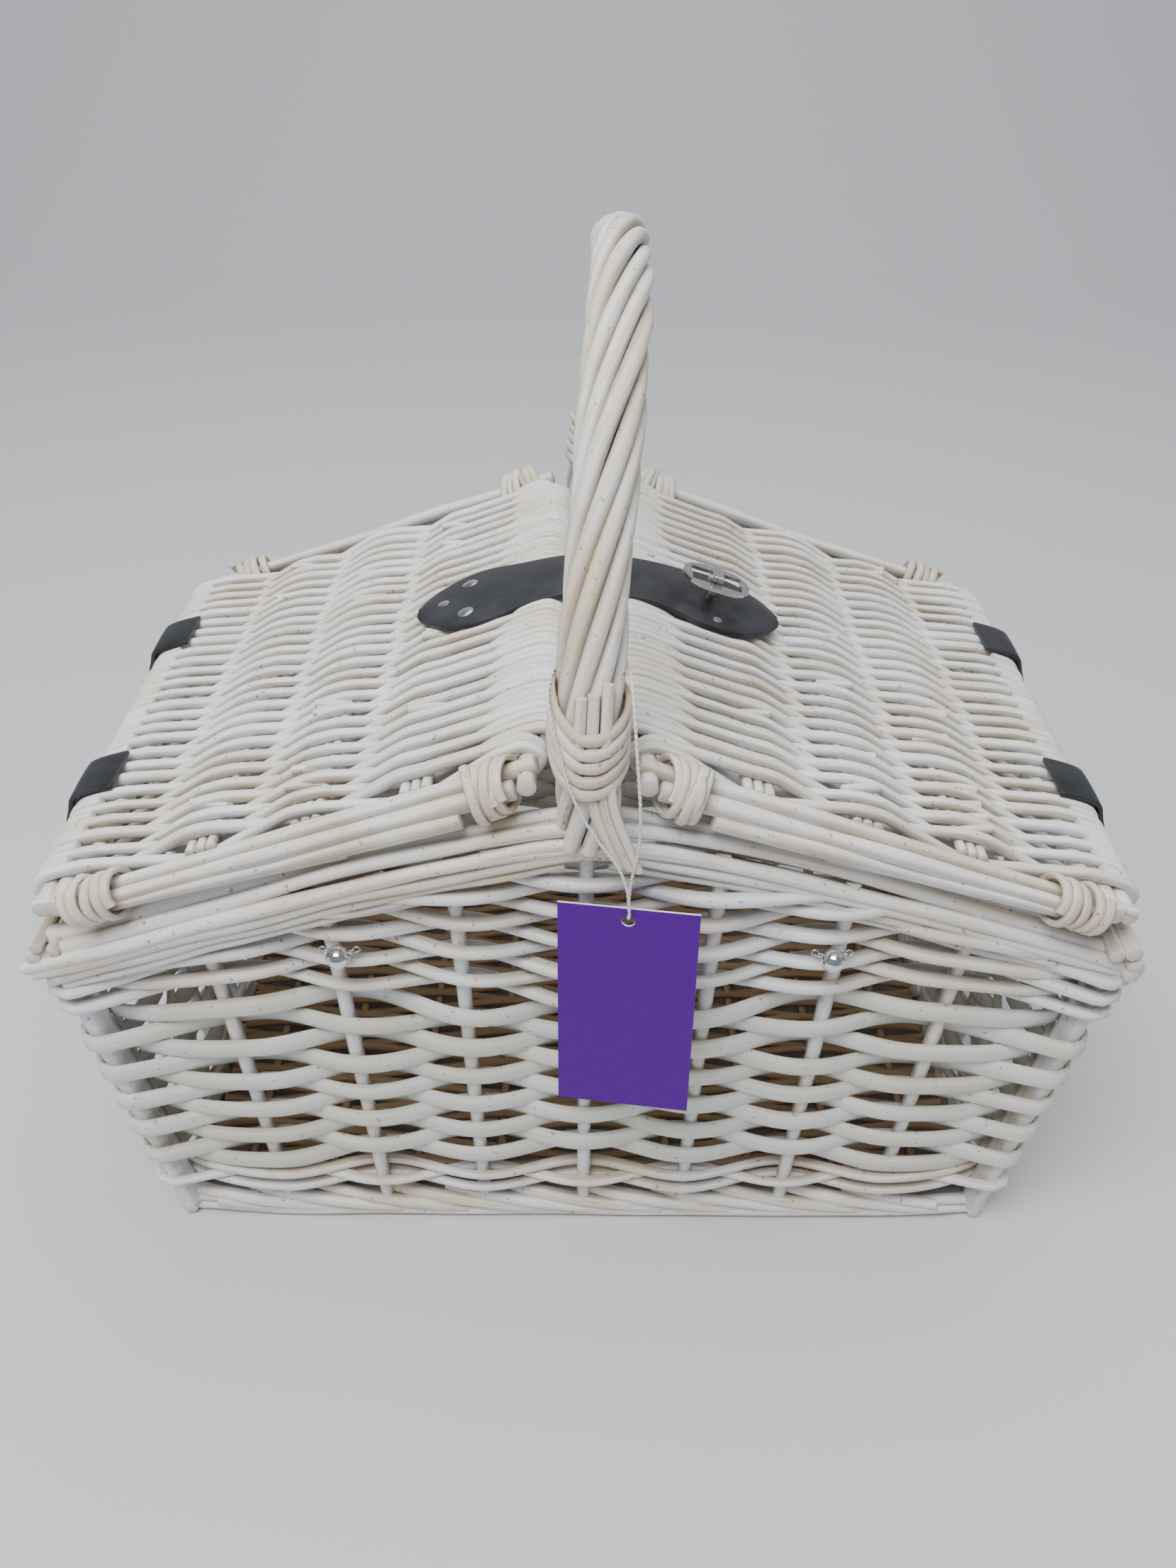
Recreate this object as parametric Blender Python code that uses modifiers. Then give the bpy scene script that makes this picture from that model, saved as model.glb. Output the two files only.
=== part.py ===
"""A willow picnic hamper with two hinged lids, a twisted arch handle and a turn-lock strap.

Metres, +Z up. The origin is at the middle of the feet, and the front faces -Y.
"""
import math

import bmesh
import bpy
from mathutils import Matrix, Vector

# Overall sizes.
FOOT_WIDTH = 0.367
FOOT_DEPTH = 0.236
MOUTH_WIDTH = 0.412
MOUTH_DEPTH = 0.267
MOUTH_HEIGHT = 0.175
GABLE_HEIGHT = 0.235
HANDLE_TOP = 0.404

# Thicknesses and clearances.
GAP = 0.0003
WALL = 0.010
FOOT_ROD = 0.012
BASE_THICK = 0.008
POST_RADIUS = 0.006
BORDER_RADIUS = 0.0065
LEATHER = 0.0025
THIN_LEATHER = 0.0018

# Lids.
RIDGE_CLEAR = 0.00575
RIDGE_LIFT = 0.0165
OUTER_INSET = 0.008
OUTER_LIFT = 0.011
LID_EDGE_INSET = 0.0003
OUTER_STICK_PROUD = 0.0013
RIDGE_STICK_PROUD = 0.0043
STICK_RADIUS = 0.0035
STICK_PITCH = 0.0068
INNER_STICK_GAP = 0.0003
INNER_STICK_CLEAR = 0.0106
INNER_STICK_RADIUS = 0.003
LID_WEAVE = 0.009
EDGE_ROD = 0.004
BINDING_WALL = 0.0012
CORNER_BINDING = 0.018
RIDGE_BINDING = 0.028
HINGE_OUT = 0.006
HINGE_BELOW = 0.0095

# Handle.
HANDLE_RADIUS = 0.01125
HANDLE_CORE = 0.0047
HANDLE_LOBES = 8
HANDLE_LOBE = 0.0013
HANDLE_TURNS = 2.4
HANDLE_INSET = 0.00573
HANDLE_SHOULDER_LIFT = 0.016
HANDLE_LEAN = 0.011
SLEEVE_WALL = 0.0022
SLEEVE_LIFT = 0.012
SLEEVE_LENGTH = 0.037

# Leather hinges.
HINGE_Y = 0.060
HINGE_WIDTH = 0.026

# Closing strap and turn lock, along X from the middle and along Y from the middle.
STRAP_Y = 0.005
STRAP_WIDTH = 0.044
STRAP_END_X = 0.071
STRAP_FOLD_X = 0.044
STRAP_TIP_X = 0.080
STRAP_LIFT = 0.009
LOCK_X = 0.0495
PLATE_LENGTH = 0.030
PLATE_WIDTH = 0.022
PLATE_THICK = 0.0015
SLOT_LENGTH = 0.022
SLOT_WIDTH = 0.0125
KNOB_LENGTH = 0.0105
KNOB_WIDTH = 0.005
KNOB_HEIGHT = 0.009
KNOB_LIFT = 0.0055
STEM_RADIUS = 0.0020
BASE_RING_RADIUS = 0.0075
BASE_RING_THICK = 0.0015
TAB_X = 0.053
TAB_LENGTH = 0.042
TAB_WIDTH = 0.049
RIVET_HEAD = 0.00475
RIVET_DOME = 0.0028
RIVET_SHANK = 0.0018
RIVETS = ((0.0495, 0.018), (0.0495, -0.008), (0.060, 0.005))
TAB_RIVET = (0.052, -0.0125)

# Chrome balls on the front.
BALL_RADIUS = 0.0045
BALL_X = 0.091
BALL_Z = 0.176

# Hang tag and its string.
TAG_WIDTH = 0.050
TAG_HEIGHT = 0.098
TAG_THICK = 0.0008
TAG_X = 0.0146
TAG_CLEAR = 0.0112
TAG_TOP = 0.210
TAG_HOLE_Z = 0.2045
TAG_HOLE = 0.0025
TAG_TURN = math.radians(-8)
STRING_RADIUS = 0.0006
STRING_ROUTE = (
    (0.0008, -0.1157, 0.2925),
    (-0.0090, -0.1196, 0.2915),
    (-0.0120, -0.1294, 0.2900),
    (-0.0130, -0.1372, 0.2870),
    (-0.0118, -0.1430, 0.2800),
    (-0.0085, -0.1478, 0.2680),
    (-0.0035, -0.1503, 0.2530),
    (0.0035, -0.1515, 0.2400),
    (0.0100, -0.1522, 0.2300),
    (0.0135, -0.1524, 0.2205),
    (0.0146, -0.1524, 0.2110),
    (0.0146, -0.1517, 0.2068),
    (0.0146, -0.1500, 0.2061),
    (0.0146, -0.1483, 0.2068),
    (0.0146, -0.1476, 0.2110),
    (0.0152, -0.1480, 0.2205),
    (0.0166, -0.1494, 0.2300),
    (0.0174, -0.1503, 0.2400),
    (0.0172, -0.1500, 0.2530),
    (0.0160, -0.1470, 0.2680),
    (0.0150, -0.1420, 0.2800),
    (0.0141, -0.1350, 0.2885),
    (0.0133, -0.1290, 0.2918),
    (0.0100, -0.1186, 0.2938),
    (0.0026, -0.1148, 0.2950),
)

RIDGE_X = HANDLE_RADIUS + RIDGE_CLEAR + STICK_RADIUS
RIDGE_Z = GABLE_HEIGHT + RIDGE_LIFT
OUTER_X = MOUTH_WIDTH / 2 - OUTER_INSET
OUTER_Z = MOUTH_HEIGHT + BORDER_RADIUS + OUTER_LIFT
LID_HALF_DEPTH = MOUTH_DEPTH / 2 - LID_EDGE_INSET
OUTER_STICK_HALF = LID_HALF_DEPTH + OUTER_STICK_PROUD
RIDGE_STICK_HALF = LID_HALF_DEPTH + RIDGE_STICK_PROUD
HANDLE_SHOULDER = GABLE_HEIGHT + HANDLE_SHOULDER_LIFT
SLEEVE_BOTTOM = GABLE_HEIGHT + SLEEVE_LIFT
SLEEVE_TOP = SLEEVE_BOTTOM + SLEEVE_LENGTH
SIDE_LEAN = (MOUTH_WIDTH - FOOT_WIDTH) / 2 / MOUTH_HEIGHT
FRONT_LEAN = (MOUTH_DEPTH - FOOT_DEPTH) / 2 / MOUTH_HEIGHT
POST_INSET = POST_RADIUS + 0.0005
BORDER_X = MOUTH_WIDTH / 2 - WALL / 2
BORDER_INSET = 0.0035
HANDLE_HALF_SPAN = FOOT_DEPTH / 2 + FRONT_LEAN * HANDLE_SHOULDER - HANDLE_INSET
TAG_Y = -(FOOT_DEPTH / 2 + FRONT_LEAN * GABLE_HEIGHT + TAG_CLEAR)
INNER_STICK_HALF = HANDLE_HALF_SPAN - HANDLE_RADIUS - SLEEVE_WALL - INNER_STICK_CLEAR
GABLE_SLOPE = (GABLE_HEIGHT - MOUTH_HEIGHT) / BORDER_X
WALL_FOOT = FOOT_ROD + GAP
LID_SLOPE = math.atan2(RIDGE_Z - OUTER_Z, OUTER_X - RIDGE_X)
LID_ALONG = Vector((math.cos(LID_SLOPE), 0, -math.sin(LID_SLOPE)))
LID_NORMAL = Vector((math.sin(LID_SLOPE), 0, math.cos(LID_SLOPE)))
HINGE_POINT = (Vector((OUTER_X, 0, OUTER_Z)) + LID_ALONG * HINGE_OUT
               - LID_NORMAL * HINGE_BELOW)
RIDGE_LOCAL = -HINGE_OUT - math.hypot(OUTER_X - RIDGE_X, RIDGE_Z - OUTER_Z)
WEAVE_TOP = HINGE_BELOW + LID_WEAVE / 2


def new_material(name, colour, roughness, metallic=0.0):
    """Makes a plain Principled material."""
    material = bpy.data.materials.new(name)
    material.use_nodes = True
    shader = material.node_tree.nodes["Principled BSDF"]
    shader.inputs["Base Color"].default_value = (*colour, 1.0)
    shader.inputs["Roughness"].default_value = roughness
    shader.inputs["Metallic"].default_value = metallic
    return material


def half_width(z):
    return FOOT_WIDTH / 2 + SIDE_LEAN * z


def half_depth(z):
    return FOOT_DEPTH / 2 + FRONT_LEAN * z


def add_object(name, data, material, parent=None):
    """Links an object for the given mesh or curve and gives it its material."""
    obj = bpy.data.objects.new(name, data)
    PARTS.objects.link(obj)
    obj.data.materials.clear()
    obj.data.materials.append(material)
    if parent is not None:
        obj.parent = parent
    return obj


def shear_mesh(obj, lean_x, lean_y):
    """Leans a standing piece outwards in proportion to its height."""
    obj.data.transform(Matrix(((1, 0, lean_x, 0), (0, 1, lean_y, 0),
                               (0, 0, 1, 0), (0, 0, 0, 1))))


def box(name, low, high, material, parent=None, bevel=0.0):
    """A box between two corners, with its edges rounded."""
    bpy.ops.mesh.primitive_cube_add(size=1)
    made = bpy.context.object
    mesh = made.data
    bpy.data.objects.remove(made)
    low = Vector(low)
    high = Vector(high)
    size = high - low
    mesh.transform(Matrix.Translation((low + high) / 2) @ Matrix.Diagonal((*size, 1)))
    obj = add_object(name, mesh, material, parent)
    if bevel:
        rounding = obj.modifiers.new("rounding", "BEVEL")
        rounding.width = bevel
        rounding.segments = 2
    return obj


def cylinder(name, centre, radius, length, axis, material, parent=None, sides=16):
    """A round bar whose middle is at the centre, along X, Y or Z."""
    bpy.ops.mesh.primitive_cylinder_add(vertices=sides, radius=radius, depth=length)
    made = bpy.context.object
    mesh = made.data
    bpy.data.objects.remove(made)
    turn = {"X": Matrix.Rotation(math.pi / 2, 4, "Y"),
            "Y": Matrix.Rotation(math.pi / 2, 4, "X"),
            "Z": Matrix.Identity(4)}[axis]
    mesh.transform(Matrix.Translation(centre) @ turn)
    return add_object(name, mesh, material, parent)


def flat_outline(name, outline, thickness, material, parent=None, place=None):
    """A flat piece cut to a closed outline of (x, y) points, centred on its own plane."""
    curve = bpy.data.curves.new(name, "CURVE")
    curve.dimensions = "2D"
    curve.fill_mode = "BOTH"
    curve.extrude = thickness / 2
    spline = curve.splines.new("POLY")
    spline.points.add(len(outline) - 1)
    for point, (x, y) in zip(spline.points, outline):
        point.co = (x, y, 0, 1)
    spline.use_cyclic_u = True
    obj = to_mesh(add_object(name, curve, material, parent))
    if place is not None:
        obj.data.transform(place)
    return obj


def tube(name, points, radius, material, parent=None, fineness=2):
    """A round rod along a line of points, with 4 + 2 * fineness sides."""
    curve = bpy.data.curves.new(name, "CURVE")
    curve.dimensions = "3D"
    curve.bevel_depth = radius
    curve.bevel_resolution = fineness
    curve.use_fill_caps = True
    spline = curve.splines.new("POLY")
    spline.points.add(len(points) - 1)
    for point, place in zip(spline.points, points):
        point.co = (*place, 1)
    return add_object(name, curve, material, parent)


def to_mesh(obj):
    """Turns a curve object into a mesh object of the same name, with its caps welded."""
    name = obj.name
    bpy.context.view_layer.update()
    graph = bpy.context.evaluated_depsgraph_get()
    mesh = bpy.data.meshes.new_from_object(obj.evaluated_get(graph))
    work = bmesh.new()
    work.from_mesh(mesh)
    bmesh.ops.remove_doubles(work, verts=work.verts, dist=0.00001)
    bmesh.ops.recalc_face_normals(work, faces=work.faces)
    work.to_mesh(mesh)
    work.free()
    material = obj.data.materials[0]
    parent = obj.parent
    matrix = obj.matrix_local.copy()
    bpy.data.objects.remove(obj)
    made = add_object(name, mesh, material, parent)
    made.name = name
    made.matrix_local = matrix
    return made


def make_cutter(obj):
    """Moves a piece among the cutters, where it is hidden and drawn as wire."""
    if obj.name in PARTS.objects:
        PARTS.objects.unlink(obj)
        CUTTERS.objects.link(obj)
    obj.hide_render = True
    obj.display_type = "WIRE"
    return obj


def cut(obj, cutter, operation="DIFFERENCE"):
    """Takes the cutter out of the piece, or joins it on."""
    step = obj.modifiers.new(operation.lower(), "BOOLEAN")
    step.operation = operation
    step.object = make_cutter(cutter)


def ribbon(name, path, width, thickness, middle_y, material, parent=None):
    """A strip of leather across Y whose middle follows (x, z) points."""
    curve = bpy.data.curves.new(name, "CURVE")
    curve.dimensions = "2D"
    curve.fill_mode = "NONE"
    curve.extrude = width / 2
    spline = curve.splines.new("POLY")
    spline.points.add(len(path) - 1)
    for point, (x, z) in zip(spline.points, path):
        point.co = (x, z, 0, 1)
    strip = to_mesh(add_object(name, curve, material, parent))
    strip.data.transform(Matrix.Translation((0, middle_y, 0))
                         @ Matrix.Rotation(math.pi / 2, 4, "X"))
    shell = strip.modifiers.new("thickness", "SOLIDIFY")
    shell.thickness = thickness
    shell.offset = 0
    shell.use_even_offset = True
    return strip


def sleeve(name, path, bore, wall, material, parent=None, fineness=2):
    """A wrapped band round a rod: a tube along the path with the rod's space cut out."""
    band = to_mesh(tube(name, path, bore + wall, material, parent, fineness))
    corner = bore / math.cos(math.pi / (4 + 2 * fineness))
    first = Vector(path[0])
    last = Vector(path[-1])
    reach = [first + (first - Vector(path[1])).normalized() * wall, *path,
             last + (last - Vector(path[-2])).normalized() * wall]
    cut(band, to_mesh(tube(name + "_bore", reach, corner, material, parent, fineness)))
    return band


def arc(centre, radius, start, end, steps):
    """Points on a round stretch, with angles in degrees."""
    angles = [math.radians(start + (end - start) * k / steps) for k in range(steps + 1)]
    return [(centre[0] + radius * math.cos(a), centre[1] + radius * math.sin(a))
            for a in angles]


def smooth_line(route, per_span):
    """A Catmull-Rom curve through the points of a route."""
    places = [Vector(p) for p in route]
    places = [2 * places[0] - places[1], *places, 2 * places[-1] - places[-2]]
    line = []
    for a, b, c, d in zip(places, places[1:], places[2:], places[3:]):
        for k in range(per_span):
            t = k / per_span
            line.append(0.5 * (2 * b + (c - a) * t + (2 * a - 5 * b + 4 * c - d) * t ** 2
                               + (3 * b - a - 3 * c + d) * t ** 3))
    line.append(places[-2])
    return line


def make_base():
    """Four foot rails, and the woven floor that rests on them inside the walls."""
    x = FOOT_WIDTH / 2
    y = FOOT_DEPTH / 2
    inner_y = y - FOOT_ROD
    soften = 0.002
    for name, side in (("front", -1), ("back", 1)):
        box(f"foot_rail_{name}", (-x, min(side * y, side * inner_y), 0),
            (x, max(side * y, side * inner_y), FOOT_ROD), PAINTED, bevel=soften)
    for name, side in (("left", -1), ("right", 1)):
        edge = side * x
        inner = side * (x - FOOT_ROD)
        box(f"foot_rail_{name}", (min(edge, inner), -inner_y + GAP, 0),
            (max(edge, inner), inner_y - GAP, FOOT_ROD), PAINTED, bevel=soften)
    reach_x = half_width(WALL_FOOT) - WALL - GAP
    reach_y = half_depth(WALL_FOOT) - WALL - GAP
    corner = POST_RADIUS
    outline = [(reach_x, -reach_y + corner), (reach_x, reach_y - corner),
               (reach_x - corner, reach_y), (corner - reach_x, reach_y),
               (-reach_x, reach_y - corner), (-reach_x, corner - reach_y),
               (corner - reach_x, -reach_y), (reach_x - corner, -reach_y)]
    place = Matrix.Translation((0, 0, WALL_FOOT + BASE_THICK / 2))
    flat_outline("base_weave", outline, BASE_THICK, NATURAL, place=place)


def make_posts():
    """The four corner posts, which lean out with the walls and end under the border."""
    drop = (BORDER_RADIUS + GAP) * math.hypot(1, GABLE_SLOPE)
    top = GABLE_HEIGHT - drop - GABLE_SLOPE * MOUTH_WIDTH / 2
    for front, y_side in (("front", -1), ("back", 1)):
        for side, x_side in (("left", -1), ("right", 1)):
            post = cylinder(f"corner_post_{front}_{side}", (0, 0, (WALL_FOOT + top) / 2),
                            POST_RADIUS, top - WALL_FOOT, "Z", PAINTED)
            shear_mesh(post, x_side * SIDE_LEAN, y_side * FRONT_LEAN)
            post.location = (x_side * (FOOT_WIDTH / 2 - POST_INSET),
                             y_side * (FOOT_DEPTH / 2 - POST_INSET), 0)


def make_walls():
    """Woven panels between the posts: gabled in front and behind, level at the sides."""
    clear = POST_INSET + POST_RADIUS + GAP
    upright = Matrix.Rotation(math.pi / 2, 4, "X")
    drop = (BORDER_RADIUS + GAP) * math.hypot(1, GABLE_SLOPE)
    foot = half_width(WALL_FOOT) - clear
    shoulder_z = ((GABLE_HEIGHT - drop - GABLE_SLOPE * (FOOT_WIDTH / 2 - clear))
                  / (1 + GABLE_SLOPE * SIDE_LEAN))
    shoulder = half_width(shoulder_z) - clear
    gable = [(-foot, WALL_FOOT), (foot, WALL_FOOT), (shoulder, shoulder_z),
             (0, GABLE_HEIGHT - drop), (-shoulder, shoulder_z)]
    for name, side in (("front", -1), ("back", 1)):
        wall = flat_outline(f"wall_{name}", gable, WALL, PAINTED, place=upright)
        shear_mesh(wall, 0, side * FRONT_LEAN)
        wall.location.y = side * (FOOT_DEPTH / 2 - WALL / 2)
    top = MOUTH_HEIGHT - BORDER_RADIUS - GAP
    foot = half_depth(WALL_FOOT) - clear
    shoulder = half_depth(top) - clear
    level = [(-foot, WALL_FOOT), (foot, WALL_FOOT), (shoulder, top), (-shoulder, top)]
    for name, side in (("left", -1), ("right", 1)):
        turned = Matrix.Rotation(math.pi / 2, 4, "Z") @ upright
        wall = flat_outline(f"wall_{name}", level, WALL, PAINTED, place=turned)
        shear_mesh(wall, side * SIDE_LEAN, 0)
        wall.location.x = side * (FOOT_WIDTH / 2 - WALL / 2)


def border_y(z):
    return half_depth(z) - BORDER_INSET


def make_rims():
    """The border rods that close the top of each wall."""
    end = BORDER_X + BORDER_RADIUS
    low = GABLE_HEIGHT - GABLE_SLOPE * end
    for name, side in (("front", -1), ("back", 1)):
        path = [(-end, side * border_y(low), low), (0, side * border_y(GABLE_HEIGHT),
                                                   GABLE_HEIGHT),
                (end, side * border_y(low), low)]
        to_mesh(tube(f"rim_{name}", path, BORDER_RADIUS, PAINTED, fineness=4))
    reach = border_y(MOUTH_HEIGHT) - BORDER_RADIUS - 2 * GAP
    for name, side in (("left", -1), ("right", 1)):
        x = side * BORDER_X
        to_mesh(tube(f"rim_{name}", [(x, -reach, MOUTH_HEIGHT), (x, reach, MOUTH_HEIGHT)],
                     BORDER_RADIUS, PAINTED, fineness=4))


def arch_point(angle, rise):
    """A point of the handle's middle line, which leans to +X sooner at the back."""
    up = math.sin(angle)
    lean = up ** 2 if math.cos(angle) > 0 else 1 - (1 - up) ** 2
    return (HANDLE_LEAN * lean, -HANDLE_HALF_SPAN * math.cos(angle), HANDLE_SHOULDER + rise * up)


def arch_line(low, high, steps, face=1):
    """Points of the handle's middle line, from front to back, or from back to front.

    low and high are heights: the line starts at low in front, or at the back where face is
    -1. Where high is given it stops there instead of running over to the other side.
    """
    rise = HANDLE_TOP - HANDLE_RADIUS - HANDLE_SHOULDER
    start = max(0.0, math.asin(max(-1, min(1, (low - HANDLE_SHOULDER) / rise))))
    stop = math.pi - start if high is None else math.asin((high - HANDLE_SHOULDER) / rise)
    line = []
    if low < HANDLE_SHOULDER:
        line.append((0, -HANDLE_HALF_SPAN * face, low))
    for k in range(steps + 1):
        angle = start + (stop - start) * k / steps
        line.append(arch_point(angle if face > 0 else math.pi - angle, rise))
    if high is None and low < HANDLE_SHOULDER:
        line.append((0, HANDLE_HALF_SPAN * face, low))
    return line


def make_handle():
    """Eight rods twisted round a core, and a wrapped band at the foot of each leg."""
    seat = GABLE_HEIGHT + BORDER_RADIUS + 2 * GAP
    line = arch_line(seat, None, 40)
    tube("handle_core", line, HANDLE_CORE, PAINTED)
    sides = HANDLE_LOBES * 4
    profile = bpy.data.curves.new("handle_section", "CURVE")
    profile.dimensions = "2D"
    ring = profile.splines.new("POLY")
    ring.points.add(sides - 1)
    for k, point in enumerate(ring.points):
        angle = 2 * math.pi * k / sides
        radius = HANDLE_RADIUS - HANDLE_LOBE * (0.5 - 0.5 * math.cos(HANDLE_LOBES * angle))
        point.co = (radius * math.cos(angle), radius * math.sin(angle), 0, 1)
    ring.use_cyclic_u = True
    section = make_cutter(add_object("handle_section", profile, PAINTED))
    rods = tube("handle_twist", line, HANDLE_RADIUS, PAINTED)
    rods.data.bevel_mode = "OBJECT"
    rods.data.bevel_object = section
    for k, point in enumerate(rods.data.splines[0].points):
        point.tilt = 2 * math.pi * HANDLE_TURNS * k / (len(line) - 1)
    rods = to_mesh(rods)
    bore = arch_line(seat - WALL, None, 40)
    cut(rods, to_mesh(tube("handle_bore", bore, HANDLE_CORE + 1.5 * GAP, PAINTED)))
    for name, face in (("front", 1), ("back", -1)):
        sleeve(f"handle_binding_{name}", arch_line(SLEEVE_BOTTOM, SLEEVE_TOP, 5, face),
               HANDLE_RADIUS + 2 * GAP, SLEEVE_WALL, CANE, fineness=4)


def make_lid(side, pivot, facing):
    """One lid, in its own frame: X runs down the slope from the ridge to the hinge.

    facing is 1 where the frame's Y points to the back of the basket, and -1 to the front.
    """
    inner_stick = -HINGE_OUT - 2 * STICK_PITCH
    near_sticks = inner_stick - STICK_RADIUS - GAP
    near_ridge = RIDGE_LOCAL + STICK_RADIUS + GAP
    middle = HINGE_BELOW
    rise = math.degrees(math.acos(STICK_PITCH / 2 / STICK_RADIUS))
    places = [inner_stick + STICK_PITCH * k for k in range(3)]
    outline = []
    for k, x in enumerate(places):
        start = 180 if k == 0 else 180 - rise
        end = 0 if k == 2 else rise
        outline += arc((x, middle), STICK_RADIUS, start, end, 5)[(1 if k else 0):]
    for k, x in reversed(list(enumerate(places))):
        start = 0 if k == 2 else -rise
        end = -180 if k == 0 else rise - 180
        outline += arc((x, middle), STICK_RADIUS, start, end, 5)[1:(-1 if k == 0 else None)]
    upright = Matrix.Rotation(math.pi / 2, 4, "X")
    flat_outline(f"lid_{side}_outer_sticks", outline, 2 * OUTER_STICK_HALF, PAINTED, pivot,
                 upright)
    cylinder(f"lid_{side}_ridge_stick", (RIDGE_LOCAL, 0, middle), STICK_RADIUS,
             2 * RIDGE_STICK_HALF, "Y", PAINTED, pivot)
    inner = RIDGE_LOCAL - STICK_RADIUS - INNER_STICK_GAP - INNER_STICK_RADIUS
    cylinder(f"lid_{side}_inner_stick", (inner, 0, middle),
             INNER_STICK_RADIUS, 2 * INNER_STICK_HALF, "Y", PAINTED, pivot)
    half = LID_HALF_DEPTH - EDGE_ROD - BINDING_WALL - 2 * GAP
    box(f"lid_{side}_weave", (near_ridge, -half, middle - LID_WEAVE / 2),
        (near_sticks, half, middle + LID_WEAVE / 2), PAINTED, pivot)
    bore = EDGE_ROD + GAP
    for name, y in (("front", -facing * LID_HALF_DEPTH), ("back", facing * LID_HALF_DEPTH)):
        cylinder(f"lid_{side}_{name}_rod", ((near_ridge + near_sticks) / 2, y, middle),
                 EDGE_ROD, near_sticks - near_ridge, "X", PAINTED, pivot)
        for place, start, end in (
                ("ridge", near_ridge + 2 * GAP, near_ridge + RIDGE_BINDING),
                ("corner", near_sticks - CORNER_BINDING, near_sticks - 2 * GAP)):
            sleeve(f"lid_{side}_{name}_{place}_binding",
                   [(start, y, middle), (end, y, middle)], bore, BINDING_WALL, CANE, pivot)


def lid_place(along, up):
    """World (x, z) of a place in the right lid's frame."""
    point = HINGE_POINT + LID_ALONG * along + LID_NORMAL * up
    return point.x, point.z


def make_hinges():
    """Leather loops from the lids' outer sticks down round the side rims."""
    off = GAP + THIN_LEATHER / 2
    over = WEAVE_TOP + off + GAP
    reach = STICK_RADIUS + off + GAP
    path = [lid_place(-HINGE_OUT - 3 * STICK_PITCH - 0.010, over),
            lid_place(-HINGE_OUT, over)]
    path += [lid_place(x, z) for x, z in arc((-HINGE_OUT, HINGE_BELOW), reach, 70, 0, 4)]
    ring = BORDER_RADIUS + off + GAP
    path += arc((BORDER_X, MOUTH_HEIGHT), ring, 25, -35, 5)
    for side, flip in (("left", -1), ("right", 1)):
        for name, y in (("front", -HINGE_Y), ("back", HINGE_Y)):
            ribbon(f"hinge_strap_{side}_{name}", [(flip * x, z) for x, z in path],
                   HINGE_WIDTH, THIN_LEATHER, y, LEATHER_BLACK)


def strap_middle(x):
    """Height of the strap's middle plane over either lid, by distance from the ridge line."""
    lid_top = HINGE_POINT.z + (HINGE_POINT.x - x) * math.tan(LID_SLOPE)
    return lid_top + (WEAVE_TOP + GAP + LEATHER / 2) / math.cos(LID_SLOPE)


def rivet(name, x, y, under, material, parent=None):
    """A domed rivet: its shank goes down through the leather. under is the leather's top."""
    profile = [(0, RIVET_DOME)]
    profile += [(RIVET_HEAD * math.sin(a), RIVET_DOME * math.cos(a))
                for a in (math.radians(90 * k / 5) for k in range(1, 6))]
    profile += [(RIVET_SHANK, 0), (RIVET_SHANK, -LEATHER), (0, -LEATHER)]
    work = bmesh.new()
    points = [work.verts.new((px, 0, pz)) for px, pz in profile]
    for a, b in zip(points, points[1:]):
        work.edges.new((a, b))
    mesh = bpy.data.meshes.new(name)
    work.to_mesh(mesh)
    work.free()
    obj = add_object(name, mesh, material, parent)
    turned = obj.modifiers.new("turned", "SCREW")
    turned.steps = 20
    turned.render_steps = 20
    turned.use_merge_vertices = True
    turned.merge_threshold = 0.00001
    obj.location = (x, y, under + GAP)
    return obj


def lid_x(x):
    """Place along the lid's slope of a point on its top at a world distance x."""
    return (x - HINGE_POINT.x - LID_NORMAL.x * WEAVE_TOP) / LID_ALONG.x


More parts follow.
